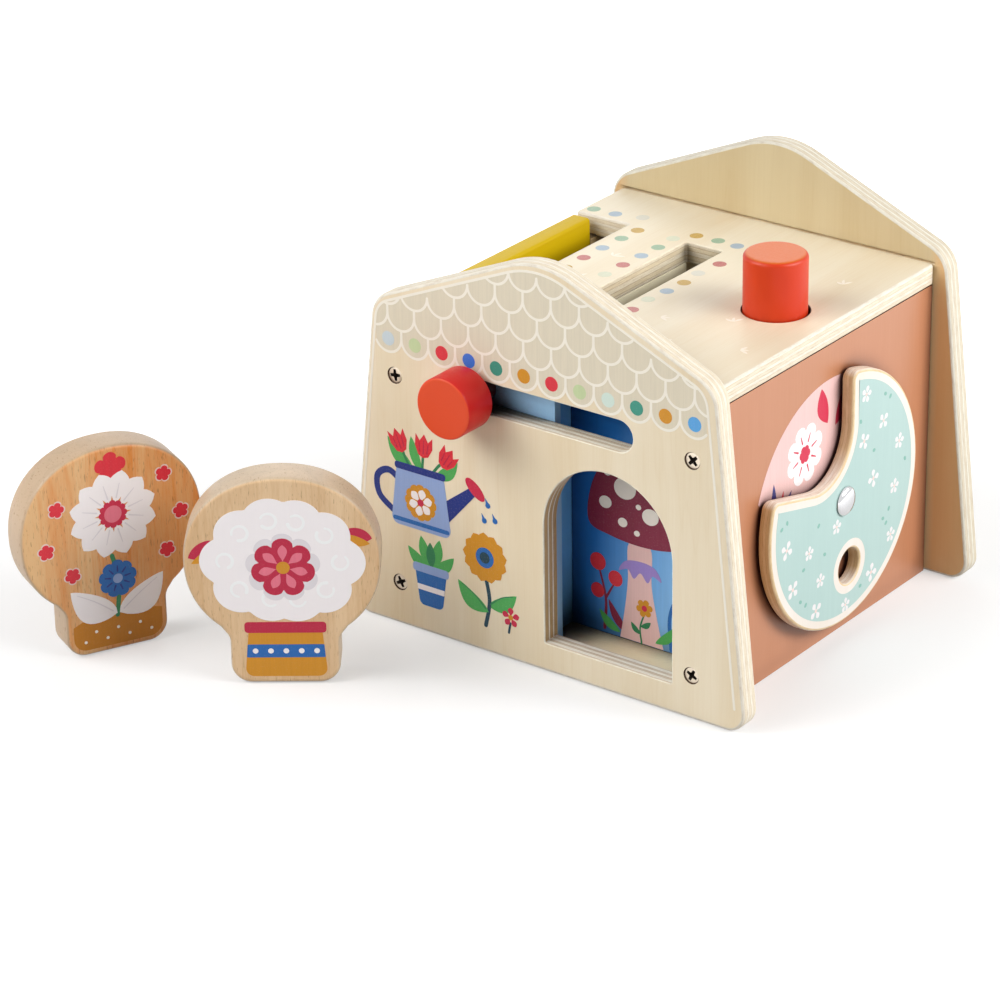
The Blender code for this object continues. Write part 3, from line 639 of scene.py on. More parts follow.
def screw_shafts(wide, far):
    """Countersunk holes of a gable, from the face at wide to the face at far."""
    narrow = wide + math.copysign(2.7, far - wide)
    shafts = []
    for x in (-SCREW_X, SCREW_X):
        for z in (SCREW_LOW, SCREW_HIGH):
            levels = [(circle((x, z), radius, 32), w) for radius, w in ((3.8, wide), (2.0, narrow), (2.0, far))]
            shafts.append(("both", levels if wide < far else levels[::-1]))
    return shafts


arch_foot = ARCH_HALF - ARCH_CORNER, ARCH_SILL + ARCH_CORNER
arch = [*arc((ARCH_X - arch_foot[0], arch_foot[1]), ARCH_CORNER, 180, 270, 30),
        *arc((ARCH_X + arch_foot[0], arch_foot[1]), ARCH_CORNER, 270, 360, 30),
        *arc((ARCH_X, ARCH_SPRING), ARCH_HALF, 0, 180, 4)]
slot = [*arc((SLOT_LEFT + SLOT_R, SLOT_Z), SLOT_R, 90, 270, 9), *arc((SLOT_RIGHT - SLOT_R, SLOT_Z), SLOT_R, -90, 90, 9)]
board("front_board", "house", TURNS["Y"], GABLE, FRONT, FRONT_IN, 1.3,
      [face_ply, front_edge, inner_ply, front_jamb, shaded_bore_wood], "plywood", "front_gable",
      [(arch, 0.5), (slot, 0.5)], screw_shafts(FRONT, FRONT_IN), (0, 2), jamb=3, bore=4)
back = board("back_board", "house", TURNS["Y"], GABLE, BACK_IN, BACK, 1.3,
             [face_ply, back_edge, back_inner_look(), shaded_bore_wood], "plywood", "back_gable",
             shafts=screw_shafts(BACK, BACK_IN), faces=(2, 0), bore=3)

roof_outline = rounded([
    (-ROOF_HALF, ROOF_FRONT, 1.6), (ROOF_HALF, ROOF_FRONT, 1.6), (ROOF_HALF, ROOF_BACK, 1.6),
    (-ROOF_HALF, ROOF_BACK, 1.6), (-ROOF_HALF, NOTCH_BACK, 1.6), (NOTCH_X, NOTCH_BACK, 1.0),
    (NOTCH_X, OPENINGS_FRONT, 1.0), (-ROOF_HALF, OPENINGS_FRONT, 1.6)], 15)
figure_slot = band((FIGURE_SLOT_LEFT, FIGURE_SLOT_RIGHT, OPENINGS_FRONT, 1),
                   (FIGURE_SLOT_LEFT, FIGURE_SLOT_RIGHT, FIGURE_SLOT_BACK, 1), 15)
plunger_hole = circle((PLUNGER[0] + 0.22, PLUNGER[1] + 0.16), PLUNGER_R + 0.7, 72)
roof = board("roof_board", "house", TURNS["Z"], roof_outline, ROOF_LOW, ROOF_TOP, 1.0,
             [roof_ply, roof_edge, inner_ply, roof_jamb], "plywood", "roof_panel",
             [(figure_slot, 0.6), (plunger_hole, 0.4)], faces=(2, 0), jamb=3)


def box(left, right, front, back):
    return [(left, front), (right, front), (right, back), (left, back)]


def cut(piece, low, high):
    """Takes a block out of a finished piece."""
    tool = Form(AS_IS)
    tool.slab([box(low[0], high[0], low[1], high[1])], low[2], high[2])
    tool = tool.finish("cutting_block", "house", [])
    change = piece.modifiers.new("rebate", "BOOLEAN")
    change.operation, change.solver, change.object = "DIFFERENCE", "EXACT", tool
    bpy.context.view_layer.update()
    cut_mesh = bpy.data.meshes.new_from_object(piece.evaluated_get(bpy.context.evaluated_depsgraph_get()))
    piece.modifiers.clear()
    piece.data = cut_mesh
    bpy.data.objects.remove(tool)


# the rebates of the door and of the side walls under the roof, and the roof's in the back gable
for piece, low, high in ((roof, (-70.5, -84, 133), (70.5, -76.95, 139.2)),
                         (roof, (-84, -77.5, 133), (-70.2, 84, 136)), (roof, (70.2, -77.5, 133), (84, 84, 136)),
                         (back, (-80.6, 80, 143.9), (80.6, 84.2, 145.2))):
    cut(piece, low, high)

GUIDE_LOW, GUIDE_HIGH, GUIDE_THICK = 124.2, 135.1, 6
board("figure_slot_guide", "house", TURNS["Z"],
      box(FIGURE_SLOT_LEFT - GUIDE_THICK, FIGURE_SLOT_LEFT, OPENINGS_FRONT, FIGURE_SLOT_BACK),
      GUIDE_LOW, GUIDE_HIGH, 0.4, [guide_ply], "plywood", edge=0)


# ---- turning plate
def disc_outline():
    """A round plate with a quarter bitten out, round its own middle."""
    margin, tip, fillet, lean = 5.0, 4.0, 22.6, math.radians(14.2)
    along = Vector((-math.cos(lean), math.sin(lean)))
    up = Vector((math.sin(lean), math.cos(lean)))
    first = Vector((margin + tip, math.sqrt((DISC_R - tip) ** 2 - (margin + tip) ** 2)))
    last = up * (margin - tip) + along * math.sqrt((DISC_R - tip) ** 2 - (margin - tip) ** 2)
    inner_x = margin - fillet
    inner = Vector((inner_x, (margin + fillet - inner_x * up.x) / up.y))
    start, end = math.degrees(math.atan2(first.y, first.x)), math.degrees(math.atan2(last.y, last.x)) - 360
    up_angle = math.degrees(math.atan2(up.y, up.x))
    return tidy([*arc(first, tip, 180, start, 12), *arc((0, 0), DISC_R, start, end, 2.5),
                 *arc(last, tip, end + 360, up_angle, 12), *arc(inner, fillet, up_angle - 180, 0, 5)])


PLATE = disc_outline()
RIVET_TOP, RIVET_RIM, RIVET_UNDER, RIVET_END = 90.3, 88.0, 87.7, 69.0
RIVET_HEAD_R, RIVET_R = 6.5, 2
board("turning_plate", "disc_set", TURNS["X"], spun(PLATE, DISC), DISC_LOW, DISC_HIGH, 1.2,
      [disc_wood, disc_edge], "plywood", "disc",
      [(spun(circle(FINGER, FINGER_R, 64), DISC), 0.9), (circle(DISC, RIVET_R + 0.3, 24), 0)])

dome = [polar((0, 0), 1, math.radians(t)) for t in range(84, -1, -12)]
form = Form(TURNS["X"])
form.lathe([(0, RIVET_TOP), *((RIVET_HEAD_R * x, RIVET_RIM + (RIVET_TOP - RIVET_RIM) * y) for x, y in dome),
            (RIVET_HEAD_R - 0.1, RIVET_UNDER + 0.05), (RIVET_HEAD_R - 0.3, RIVET_UNDER), (RIVET_R, RIVET_UNDER),
            (RIVET_R, RIVET_END + 0.4), (RIVET_R - 0.4, RIVET_END), (0, RIVET_END)], DISC, 48)
form.finish("disc_rivet_dome", "house", [rivet_steel], "polished_steel", "disc_rivet")


# ---- dowels
def rounded_end(radius, end, edge, inward, flat):
    """(radius, w) pairs round the rim of a dowel's end, from its side to the middle of its face."""
    turns = [math.radians(90 * i / 5) for i in range(6)]
    return [*((radius - edge * (1 - math.cos(a)), end - inward * edge * (1 - math.sin(a))) for a in turns),
            (flat, end), (0, end)]


PILOT_R, PILOT_END = 1.8, 147.5             # the plunger's hole for the screw of its collar
form = Form(TURNS["Z"])
form.lathe([(0, PILOT_END), (PILOT_R, PILOT_END), (PILOT_R, ROOF_LOW), (PLUNGER_R - 0.5, ROOF_LOW),
            (PLUNGER_R, ROOF_LOW + 0.5), *rounded_end(PLUNGER_R, PLUNGER_TOP, 2.0, 1, 10.6)], PLUNGER, 72)
form.finish("push_dowel", "plunger_set", [orange], "orange_paint", "plunger")

KNOB_PILOT_R, KNOB_PILOT_END, NECK_R = 2, -96.75, 5.4
form = Form(TURNS["Y"])
form.lathe([(0, KNOB_PILOT_END), (KNOB_PILOT_R, KNOB_PILOT_END), (KNOB_PILOT_R, DOOR_FRONT), (NECK_R, DOOR_FRONT),
            (NECK_R, KNOB_BACK), (KNOB_R - 0.7, KNOB_BACK), (KNOB_R - 0.2, KNOB_BACK - 0.2),
            (KNOB_R, KNOB_BACK - 0.65), *rounded_end(KNOB_R, KNOB_FACE, 0.9, -1, 12.0)], KNOB, 72)
form.finish("knob_dowel", "door", [knob_orange], "orange_paint", "knob")


# ---- screws
def cross(width, reach):
    """A cross with rounded inner corners, as the recess of a screw head."""
    a, b, c = width / 2, reach, width / 2 * 1.35
    return [(b, -a), (b, a), (c, c), (a, b), (-a, b), (-c, c), (-b, a), (-b, -a), (-c, -c), (-a, -b), (a, -b), (c, -c)]


def screw(name, node, body, axis, centre, head, inward, length, head_radius=3.45, shank=1.7, turn=0.0,
          flat_under=False):
    """A wood screw whose head's top lies at head, and which points inward, 1 or -1, along the axis."""
    depth, core = 2.4, shank * 0.74
    crest = [(head_radius - 0.35, 0), (head_radius - 0.08, 0.1), (head_radius, 0.3)]
    if flat_under:
        crest += [(head_radius, depth - 0.2), (head_radius - 0.3, depth), (shank, depth)]
    else:
        crest += [(head_radius - 0.1, 0.45), (shank, depth)]
    down = depth + 2.0
    crest.append((shank, down))
    while down < length - 3.4:
        crest += [(core, down + 0.35), (core, down + 0.75), (shank, down + 1.1)]
        down += 1.25
    crest += [(shank * 0.7, length - 2.0), (0.2, length)]
    outside = [(circle(centre, radius, 40), w) for radius, w in crest]
    recess = [(tidy(spun(cross(*size), centre, turn)), w) for size, w in (((1.25, 2.6), 0), ((1.15, 2.2), 0.5),
                                                                       ((0.6, 0.9), 1.9))]
    form = Form(TURNS[axis])
    rings, pit = ([form.ring(points, head + inward * w) for points, w in levels] for levels in (outside, recess))
    form.skin(rings)
    form.cap([rings[-1]], [outside[-1][0]])
    form.skin(pit, 1)
    form.cap([pit[-1]], [recess[-1][0]], 1)
    form.cap([rings[0], pit[0]], [outside[0][0], recess[0][0]])
    form.finish(name, body, [screw_steel, recess_shade_steel], "steel", node, 30)


SUNK = 0.45
for end, w, inward in (("front", FRONT, 1), ("back", BACK, -1)):
    for side, x in (("left", -SCREW_X), ("right", SCREW_X)):
        for height, z in (("low", SCREW_LOW), ("high", SCREW_HIGH)):
            turn = 8 + 37 * (side == "right") + 19 * (height == "low")
            screw(f"cross_screw_{end}_{side}_{height}", f"screw_{end}_{side}_{height}", "house", "Y", (x, z),
                  w + inward * SUNK, inward, SCREW_LENGTH - SUNK, turn=turn)
screw("door_cross_screw", "knob_screw", "door", "Y", KNOB, DOOR_BACK, -1, 19.0)
screw("collar_cross_screw", "plunger_screw", "plunger_set", "Z", PLUNGER, 127.2, 1, 20.0, 3.5, 1.5, flat_under=True)

# the spring that lifts the push dowel; pressed, it keeps 0.361 of its height
COIL_LOW, COIL_HIGH, COIL_R, WIRE, COIL_TURNS, COIL_STEPS = 98.3, 129.6, 9.0, 0.7, 6, 24
rise = 2 * WIRE + 0.3                       # of the closed turn at each end
path = []
for i in range(COIL_TURNS * COIL_STEPS + 1):
    turn = i / COIL_STEPS
    climb = min(max((turn - 1) / (COIL_TURNS - 2), 0), 1)
    low = COIL_LOW + WIRE + rise * min(turn, 1)
    high = COIL_HIGH - WIRE - rise - rise * min(COIL_TURNS - turn, 1)
    path.append((*polar(PLUNGER, COIL_R, math.tau * turn), low + climb * (high - low) if climb < 1 else high + rise))
form = Form(AS_IS)
form.tube(path, WIRE, 10)
coil = form.finish("return_spring", "house", [spring_steel], "steel", "plunger_spring", 60)
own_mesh(coil)

# ---- flap in the left wall
section = rounded([(-WALL, 12.6, 1), (-75.3, 12.6, 0.6), (-75.3, 20.6, 0.4), (-70.5, 20.6, 1),
                   (-70.5, ROOF_TOP, 1.4), (-WALL, ROOF_TOP, 1.4)], 22.5)
PIN_DEPTH = 8.1
pin_hole = circle(PIVOT, 1.8, 24)
board("flap_board", "flap", TURNS["Y"], section, FLAP_FRONT, FLAP_BACK, 0, [yellow], "yellow_paint", "flap_door",
      shafts=[("low", [(pin_hole, FLAP_FRONT), (pin_hole, FLAP_FRONT + PIN_DEPTH)]),
              ("high", [(pin_hole, FLAP_BACK), (pin_hole, FLAP_BACK - PIN_DEPTH)])], edge=0, bore=0)


# ---- figures
def figure_outline():
    """A round head, nearly an ellipse, on a straight foot."""
    bulge, half_w, half_h, middle, foot, corner = 2.15, 40.8, 38.0, 56.0, 22.8, 8.5
    neck = middle - half_h * (1 - (foot / half_w) ** bulge) ** (1 / bulge)
    head = []
    for i in range(121):
        s, c = math.sin(math.tau * i / 120), -math.cos(math.tau * i / 120)
        point = (half_w * math.copysign(abs(s) ** (2 / bulge), s),
                 middle + half_h * math.copysign(abs(c) ** (2 / bulge), c))
        if c > 0 or abs(point[0]) > foot + 3.0:
            head.append(point)
    bottom = band((-foot, foot, 0, corner), (-foot, foot, neck - 4.5, 0), 7.5)[:-2]
    right = [(foot, neck - 4.5), (foot + 0.25, neck - 2.9), (foot + 0.95, neck - 1.3), (foot + 2.0, neck + 0.1)]
    return tidy([*bottom, *right, *head, *((-u, v) for u, v in reversed(right))])


FIGURE = figure_outline()
figures = {}
# the last of each figure's tones is its lean, painted light and shade across its face
for figure, x, y, turn, tones in (
        ("pot", -85.3, -155.7, 36, ((235, 203, 162), (210, 168, 120), (140, 98, 62), (208, 186, 159), -0.12)),
        ("daisy", -166.1, -175.4, 64, ((230, 186, 133), (222, 136, 62), (136, 84, 42), (195, 168, 138), 0.4))):
    angle = math.radians(turn)
    stand = figures[figure] = Matrix.Translation((x, y, 0)) @ Matrix.Rotation(angle, 4, "Z")
    beech = beech_wood(f"beech_look_{figure}", angle, stand.to_3x3().inverted() @ stand.translation, *tones)
    board(f"{figure}_slab", f"{figure}_figure", stand @ TURNS["Y"], FIGURE, -FIGURE_HALF, FIGURE_HALF, 1.7,
          [beech], "beech", f"figure_{figure}", edge=0, steps=4)


# ---- shapes to print
def ellipse(centre, rx, ry=None, turn=0.0, count=36):
    return spun([(x * rx, y * (ry or rx)) for x, y in circle((0, 0), 1, count)], centre, turn)


CURVE_STEPS = 6


def curve(points, closed=False):
    """A smooth line through points."""
    count = len(points)
    smooth = []
    for i in range(count if closed else count - 1):
        a, b, c, d = (Vector(points[(i + k) % count] if closed else points[min(max(i + k, 0), count - 1)])
                      for k in (-1, 0, 1, 2))
        for t in (j / CURVE_STEPS for j in range(CURVE_STEPS)):
            smooth.append(tuple(0.5 * (2 * b + (c - a) * t + (2 * a - 5 * b + 4 * c - d) * t * t
                                       + (3 * b - a - 3 * c + d) * t ** 3)))
    return smooth if closed else [*smooth, tuple(points[-1])]


def leaf(base, tip, width, bend=0.0, belly=1.0, steps=14):
    """A leaf from base to tip: belly over 1 brings its widest place nearer to the tip."""
    base, tip = Vector(base), Vector(tip)
    side = Vector((base.y - tip.y, tip.x - base.x)).normalized()
    right, left = [], []
    for i in range(steps + 1):
        t = i / steps
        spot = base.lerp(tip, t) + side * bend * math.sin(math.pi * t)
        half = width / 2 * math.sin(math.pi * t ** belly) ** 0.85 if 0 < i < steps else 0
        right.append(tuple(spot - side * half))
        left.append(tuple(spot + side * half))
    return right + left[-2:0:-1]


def bloom(centre, radius, lobes, depth, turn=0.0):
    """A flower's outline with round lobes."""
    points = []
    for i in range(lobes * 10):
        angle = math.tau * i / (lobes * 10)
        reach = radius * (1 - depth + depth * abs(math.cos(lobes * angle / 2)) ** 0.55)
        points.append(polar(centre, reach, angle + math.radians(turn)))
    return points


def stroke(path, width, taper=None):
    """The outline of a drawn line with round ends; taper is its width at the far end."""
    spots = [Vector(p) for p in path]
    last = len(spots) - 1
    right, left, ends = [], [], []
    for i, spot in enumerate(spots):
        ahead = (spots[min(i + 1, last)] - spots[max(i - 1, 0)]).normalized()
        side = Vector((-ahead.y, ahead.x))
        half = (width + ((width if taper is None else taper) - width) * i / last) / 2
        right.append(spot - side * half)
        left.append(spot + side * half)
        if i in (0, last):
            tip = -ahead if i == 0 else ahead
            ends.append([spot + (side * math.cos(a) + tip * math.sin(a)) * half
                         for a in (math.radians(45), math.radians(90), math.radians(135))])
    return [tuple(p) for p in [*right, *ends[1][::-1], *left[::-1], *ends[0]]]


def line(points, width, taper=None):
    return stroke(curve(points), width, taper)


def drop(centre, radius, length, turn):
    """A drop with its point up, turned from there."""
    return spun([*arc((0, 0), radius, 160, 380, 20), (radius * 0.42, radius * 1.1), (0, length),
                 (-radius * 0.42, radius * 1.1)], centre, turn)


def rays(centre, near, far, count, turn):
    """Pairs of points, one near to the centre and one far from it, evenly round it."""
    angles = [math.radians(turn + 360 / count * k) for k in range(count)]
    return [(polar(centre, near, a), polar(centre, far, a)) for a in angles]


def petals(centre, radius, count, turn):
    return [leaf(*ray, radius * 0.62, belly=1.5, steps=10) for ray in rays(centre, radius * 0.12, radius, count, turn)]


INKS = {
    "cream": (255, 248, 238), "white": (252, 246, 247), "blush": (236, 212, 204), "rose": (233, 120, 140),
    "raspberry": (206, 40, 74), "red": (222, 46, 62), "maroon": (132, 30, 62), "ochre": (214, 146, 34),
    "navy": (28, 48, 128), "cobalt": (34, 104, 180), "periwinkle": (150, 174, 222), "sky": (92, 168, 228),
    "green": (78, 172, 88), "leaf": (44, 128, 82), "pine": (22, 62, 78), "teal": (60, 150, 130),
    "mint": (202, 217, 166), "aqua": (215, 232, 220), "mist": (207, 219, 224), "royal": (62, 122, 222),
    "lilac": (160, 136, 208), "pink": (238, 197, 193), "scale": (228, 217, 193), "line": (249, 242, 227),
    "shade": (232, 226, 230), "curl": (255, 255, 255), "crimson": (190, 30, 66), "deep_ochre": (196, 124, 20),
    "dot_green": (150, 177, 149), "dot_blue": (161, 178, 191), "dot_ochre": (193, 157, 73),
    "dot_red": (184, 107, 102), "dot_mint": (213, 214, 189), "dot_pale": (215, 211, 196),
    "sprig": (244, 233, 216), "petal": (232, 229, 229), "speck": (132, 182, 170),
}
INK_UNDER, INK_TOP, INK_LAYER = -0.04, 0.05, 0.03
INK_STEP, INK_STEPS = 0.0015, 9             # neighbours in one layer never lie quite level


class Print:
    """Ink on one flat surface. Every colour is one piece of thin closed slabs, and each layer of
    drawing lies a little higher than the last."""

    def __init__(self, name, body, place, wood=0.08, along="Z", corner_shaded=False):
        self.name, self.body, self.place, self.options = name, body, place, (wood, along, corner_shaded)
        self.inks, self.count = {}, 0

    def add(self, layer, colour, *shapes):
        form = self.inks.setdefault(colour, Form(self.place))
        for shape in shapes:
            self.count += 1
            top = INK_TOP + INK_LAYER * layer + INK_STEP * (self.count % INK_STEPS)
            form.slab([tidy(shape)], INK_UNDER, top)

    def finish(self):
        for colour, form in self.inks.items():
            name = f"{self.name}_{colour}_ink"
            form.finish(name, self.body, [ink(f"{name}_look", INKS[colour], *self.options)])


def facing(y, stand=AS_IS):
    """The frame of a print that looks forwards from y, with w towards the viewer."""
    return stand @ Matrix.Translation((0, y, 0)) @ Matrix.Scale(-1, 4, (0, 1, 0)) @ TURNS["Y"]


# ---- print on the front board
art = Print("front_print", "house", facing(FRONT))
LOW_END, SIDE_LEAN = 10.8, 0.1087           # lowest end of the drawn border, and the slope of the board's sides


def side_line(outline):
    """The part of the outline above LOW_END, from its right foot over the top to its left foot."""
    start = min(range(len(outline)), key=lambda i: (outline[i][1] < LOW_END, -outline[i][0], outline[i][1]))
    points = [p for p in outline[start:] + outline[:start] if p[1] >= LOW_END]
    (right, right_z), (left, left_z) = points[0], points[-1]
    return [(right + SIDE_LEAN * (right_z - LOW_END), LOW_END), *points,
            (left - SIDE_LEAN * (left_z - LOW_END), LOW_END)]


def inside(point, outline):
    crossings = 0
    for i, b in enumerate(outline):
        a = outline[i - 1]
        if (a[1] > point[1]) != (b[1] > point[1]):
            crossings += point[0] < a[0] + (b[0] - a[0]) * (point[1] - a[1]) / (b[1] - a[1])
    return crossings % 2 == 1


BORDER_SHIFT, BORDER_INSET, BORDER_WIDTH = -1.1, 3.6, 1.1
border = side_line([(x + BORDER_SHIFT, z) for x, z in grow(tidy(GABLE), -BORDER_INSET)])
PITCH, STEP, TILE_R, TILE_X, TILE_LOW, TILE_LINE = 14.04, 10.82, 7.02, -78.1, 126.0, 1.15
DOT_Z, DOT_R = 132.0, 3.2
top_edge = [p for p in border if p[1] > TILE_LOW + TILE_R - 3]
eaves = [p for i in range(-1, 13) for p in arc((TILE_X + PITCH * i, TILE_LOW + TILE_R), TILE_R, 180, 360, 9)[:-1]
         if top_edge[-1][0] < p[0] < top_edge[0][0]]
art.add(0, "scale", [*eaves, *top_edge])
field = grow(tidy([*top_edge, (top_edge[-1][0], TILE_LOW - 8), (top_edge[0][0], TILE_LOW - 8)]), -0.1)
for row in range(6):
    base = TILE_LOW + STEP * row
    for i in range(-1, 14):
        middle = TILE_X + PITCH * i + (TILE_R if row % 2 else 0)
        part = []
        for p in [*arc((middle, base + TILE_R), TILE_R, 180, 360, 9), (middle + TILE_R, base + STEP - 0.2), None]:
            if p and inside(p, field):
                part.append(p)
            else:
                if len(part) > 2:
                    art.add(1, "line", stroke(part, TILE_LINE))
                part = []
art.add(1, "line", stroke(border, BORDER_WIDTH))
for i, colour in enumerate(("mist", "mint", "red", "royal", "teal", "ochre", "red", "mint", "aqua", "teal", "ochre",
                            "sky")):
    art.add(1, colour, circle((TILE_X + PITCH * i, DOT_Z), DOT_R, 28))

# a watering can with tulips
art.add(1, "green", leaf((-66, 74), (-80, 87), 6.5, 1.5, 0.9), leaf((-55, 74), (-43, 84), 6, -1.5, 0.9),
        leaf((-62, 74), (-67.5, 90), 5, 1))
art.add(1, "leaf", line([(-68, 75), (-71, 80), (-73, 85)], 1.3), line([(-62, 75), (-61, 84)], 1.3),
        line([(-57, 75), (-53, 80), (-50.5, 82)], 1.3))
TULIP = [(-4.4, 5.2), (-4.6, 0), (-2.6, -4.0), (0, -5.0), (2.6, -4.0), (4.6, 0), (4.4, 5.2), (2.2, 2.6), (0, 6.0),
         (-2.2, 2.6)]
for x, z, lean in ((-74.0, 86.0, 22), (-60.8, 86.6, -4), (-48.6, 84.0, -32)):
    art.add(2, "red", spun(TULIP, (x, z), lean))
    for off in (-2.4, 0, 2.4):
        fold = (off * 0.8, -3.0 + abs(off) * 0.3), (off, 3.0 - abs(off) * 0.5)
        art.add(3, "crimson", stroke(spun(fold, (x, z), lean), 0.7, 0.35))
art.add(3, "navy", line([(-73.5, 68), (-80, 71.5), (-86, 67.5), (-85.2, 59), (-78, 53.5)], 3.0),
        [(-50.5, 52.5), (-33.6, 71.6), (-36.6, 74.4), (-52.5, 62.5)])
art.add(4, "periwinkle", band((-79, -47, 47.5, 3.5), (-75.5, -50.5, 75, 2), 15))
art.add(4, "raspberry", ellipse((-34.0, 74.2), 6.2, 2.7, -42))
art.add(5, "navy", band((-76.4, -49.6, 73.6, 1.2), (-76.4, -49.6, 76.8, 1.2), 30))
CAN_FLOWER = (-63, 60.4)
art.add(5, "ochre", bloom(CAN_FLOWER, 8.4, 12, 0.10))
art.add(5, "cobalt", band((-78.2, -47.8, 49.2, 1), (-77.9, -48.1, 51.2, 1), 30),
        *(drop(spot, 1.25, 3.4, 24) for spot in ((-27.4, 68.6), (-23.8, 62.4), (-29.4, 61.2))))
art.add(6, "white", *petals(CAN_FLOWER, 6.4, 6, 18))
art.add(7, "raspberry", circle(CAN_FLOWER, 1.7, 20))

# a pot of green leaves
ROOT = (-58, 31)
art.add(1, "green", leaf(ROOT, (-70.5, 38.5), 5.4, 1.8), leaf(ROOT, (-63.5, 45), 5.6, 0.8),
        leaf(ROOT, (-53.5, 45.4), 5.6, -0.8), leaf(ROOT, (-46, 39), 5.4, -1.8))
art.add(2, "leaf", leaf(ROOT, (-58.6, 43), 4.8))
art.add(2, "cobalt", band((-64.5, -52.5, 12.6, 2.6), (-66.8, -50.2, 29, 0.8), 15))
art.add(3, "periwinkle", band((-68, -49, 28, 1.3), (-68, -49, 32, 1.3), 30))
art.add(3, "white", band((-65.6, -51.5, 19.6, 0.3), (-65.9, -51.2, 22.2, 0.3), 45))

# a sunflower and a small flower
SUNFLOWER, SMALL_FLOWER = (-29.5, 44), (-16.4, 19.8)
art.add(1, "pine", line([(-29, 34), (-27.4, 24), (-29.6, 12.4)], 1.9))
art.add(1, "green", leaf((-28, 19), (-44, 30), 7.6, 2.4, 0.9), leaf((-28, 22), (-13.2, 30.5), 7.0, -2.0, 0.9))
art.add(2, "leaf", line([(-29.5, 20.3), (-35, 25), (-42, 28.9)], 0.7, 0.3),
        line([(-26.8, 23), (-21, 27.6), (-15, 29.8)], 0.7, 0.3))
art.add(2, "ochre", *petals(SUNFLOWER, 11.6, 13, 10))
for layer, colour, radius, count in ((3, "ochre", 6.0, 32), (4, "cobalt", 4.7, 32), (5, "pine", 2.6, 24)):
    art.add(layer, colour, circle(SUNFLOWER, radius, count))
art.add(1, "pine", line([(-17.5, 12.4), (-16.6, 17)], 1.1))
art.add(2, "raspberry", *petals(SMALL_FLOWER, 4.6, 5, 90))
art.add(3, "ochre", circle(SMALL_FLOWER, 1.2, 16))
art.finish()

# ---- print on the roof
art = Print("roof_print", "house", Matrix.Translation((0, 0, ROOF_TOP)), 0.3, "Y")
for colour, spots in {
    "dot_green": [(-75.7, 51.9), (-45.2, 29.9), (-26.2, 30.3), (-9.4, 51.3), (-45, -25), (-27, -37)],
    "dot_blue": [(-64.4, 52.3), (-45.5, 16.2), (-26.5, 18.2), (0.8, 50.8), (5.3, -8.5), (-27, -22)],
    "dot_ochre": [(-45, 41.7), (-20.4, 50.9), (5.8, 3.4), (-45.3, -11), (5, -47), (-26.8, -49)],
    "dot_red": [(-45.5, 2.5), (-26.9, 5.2), (6.3, 29.3), (5.0, -33.4), (-45, -39), (-64, -58)],
    "dot_mint": [(-26.8, 42.4), (-27.0, -7.9), (4.0, -20.3), (-75, -58), (-45, -53)],
    "dot_pale": [(4.7, 15.5), (-52, 55.5), (5.5, -60)],
}.items():
    art.add(0, colour, *(circle(spot, 3.0, 28) for spot in spots))
for i, spot in enumerate(((-36, 11), (-35, -16), (20, -34), (36, -55), (47, -20), (66, -44), (20, 44), (62, 40))):
    for k in (-62, -10, 38):
        angle = math.radians(90 + k + 50 * math.sin(2.1 * i))
        tip = polar(spot, 4.4 + 0.8 * math.sin(1.7 * i + k), angle)
        art.add(0, "sprig", leaf(spot, tip, 1.3, 0.4, steps=8))
art.finish()

# ---- print on the turning plate
plate_place = Matrix.Translation((DISC_HIGH, *DISC)) @ TURNS["X"]
form = Form(plate_place)
form.slab([tidy(grow(PLATE, -4.4)), tidy(circle(FINGER, FINGER_R + 4.3, 64)), tidy(circle((0, 0), 2.6, 24))],
          INK_UNDER, INK_TOP)
form.finish("disc_turquoise_field", "disc_set", [turquoise], "turquoise_paint")
art = Print("disc_print", "disc_set", plate_place)
for i, spot in enumerate(((15, 43), (29, 26), (42, 12), (14, 22), (39, -8), (22, 2), (37, -30), (22, -42), (-6, -10),
                          (-44, -6), (-27, -14), (-39, -26), (-18, -30), (-21, -43), (2, -49.4))):
    radius = 3.9 + 0.5 * math.sin(3.0 * i)
    art.add(1, "petal", *petals(spot, radius, 4 if i % 2 else 5, 37 * i))
    art.add(1, "blush", circle(spot, radius * 0.2, 16))
art.add(1, "speck", *(ellipse((u, v), 0.85, 1.15, 20 * u, 16) for u, v in (
    (47, 2), (35, -17), (30.5, -20), (33, -23), (-48, 5), (-44, 6.5), (-20, -4), (-15, -19), (-31, -20), (-33, -34),
    (-29, -37), (13.5, -45), (30, 38), (34, 35.5), (11, 32), (22, 15))))
art.finish()

# ---- print on the wall, under the plate
# the print under the turning plate takes painted shade near the plate's edge
art = Print("wall_print", "house", Matrix.Translation((WALL, 1.7, 64.1)) @ TURNS["X"], 0.02, corner_shaded=True)
art.add(0, "pink", [*arc((0, 0), 55.4, -12, 161, 3),
                    *curve([(-46, 10), (-34, 1), (-16, -8), (6, -10), (24, -5), (40, -7)])])
art.add(1, "raspberry", leaf((-1, 36), (-6, 53), 8, 1.5), leaf((5, 33), (14, 50), 8, -1.5),
        leaf((36, 6), (52, 12), 8, 1.5), leaf((-15, -39), (-21, -51), 7, 1.5))
art.add(1, "navy", leaf((-44, 3), (-41, 23), 4.6, -1.4, 0.8), leaf((-36, 3), (-27.6, 15.4), 3.2, 0, 0.9),
        leaf((34, -15), (50, -16), 5, 2), leaf((18, -40), (29, -46), 4.6, 1))
art.add(1, "red", leaf((-40, 2), (-33.6, 17.4), 3.2, -0.8, 0.9), leaf((38, -24), (48, -31), 4, 1),
        leaf((-38, -10), (-46, -17), 4.6, 1))
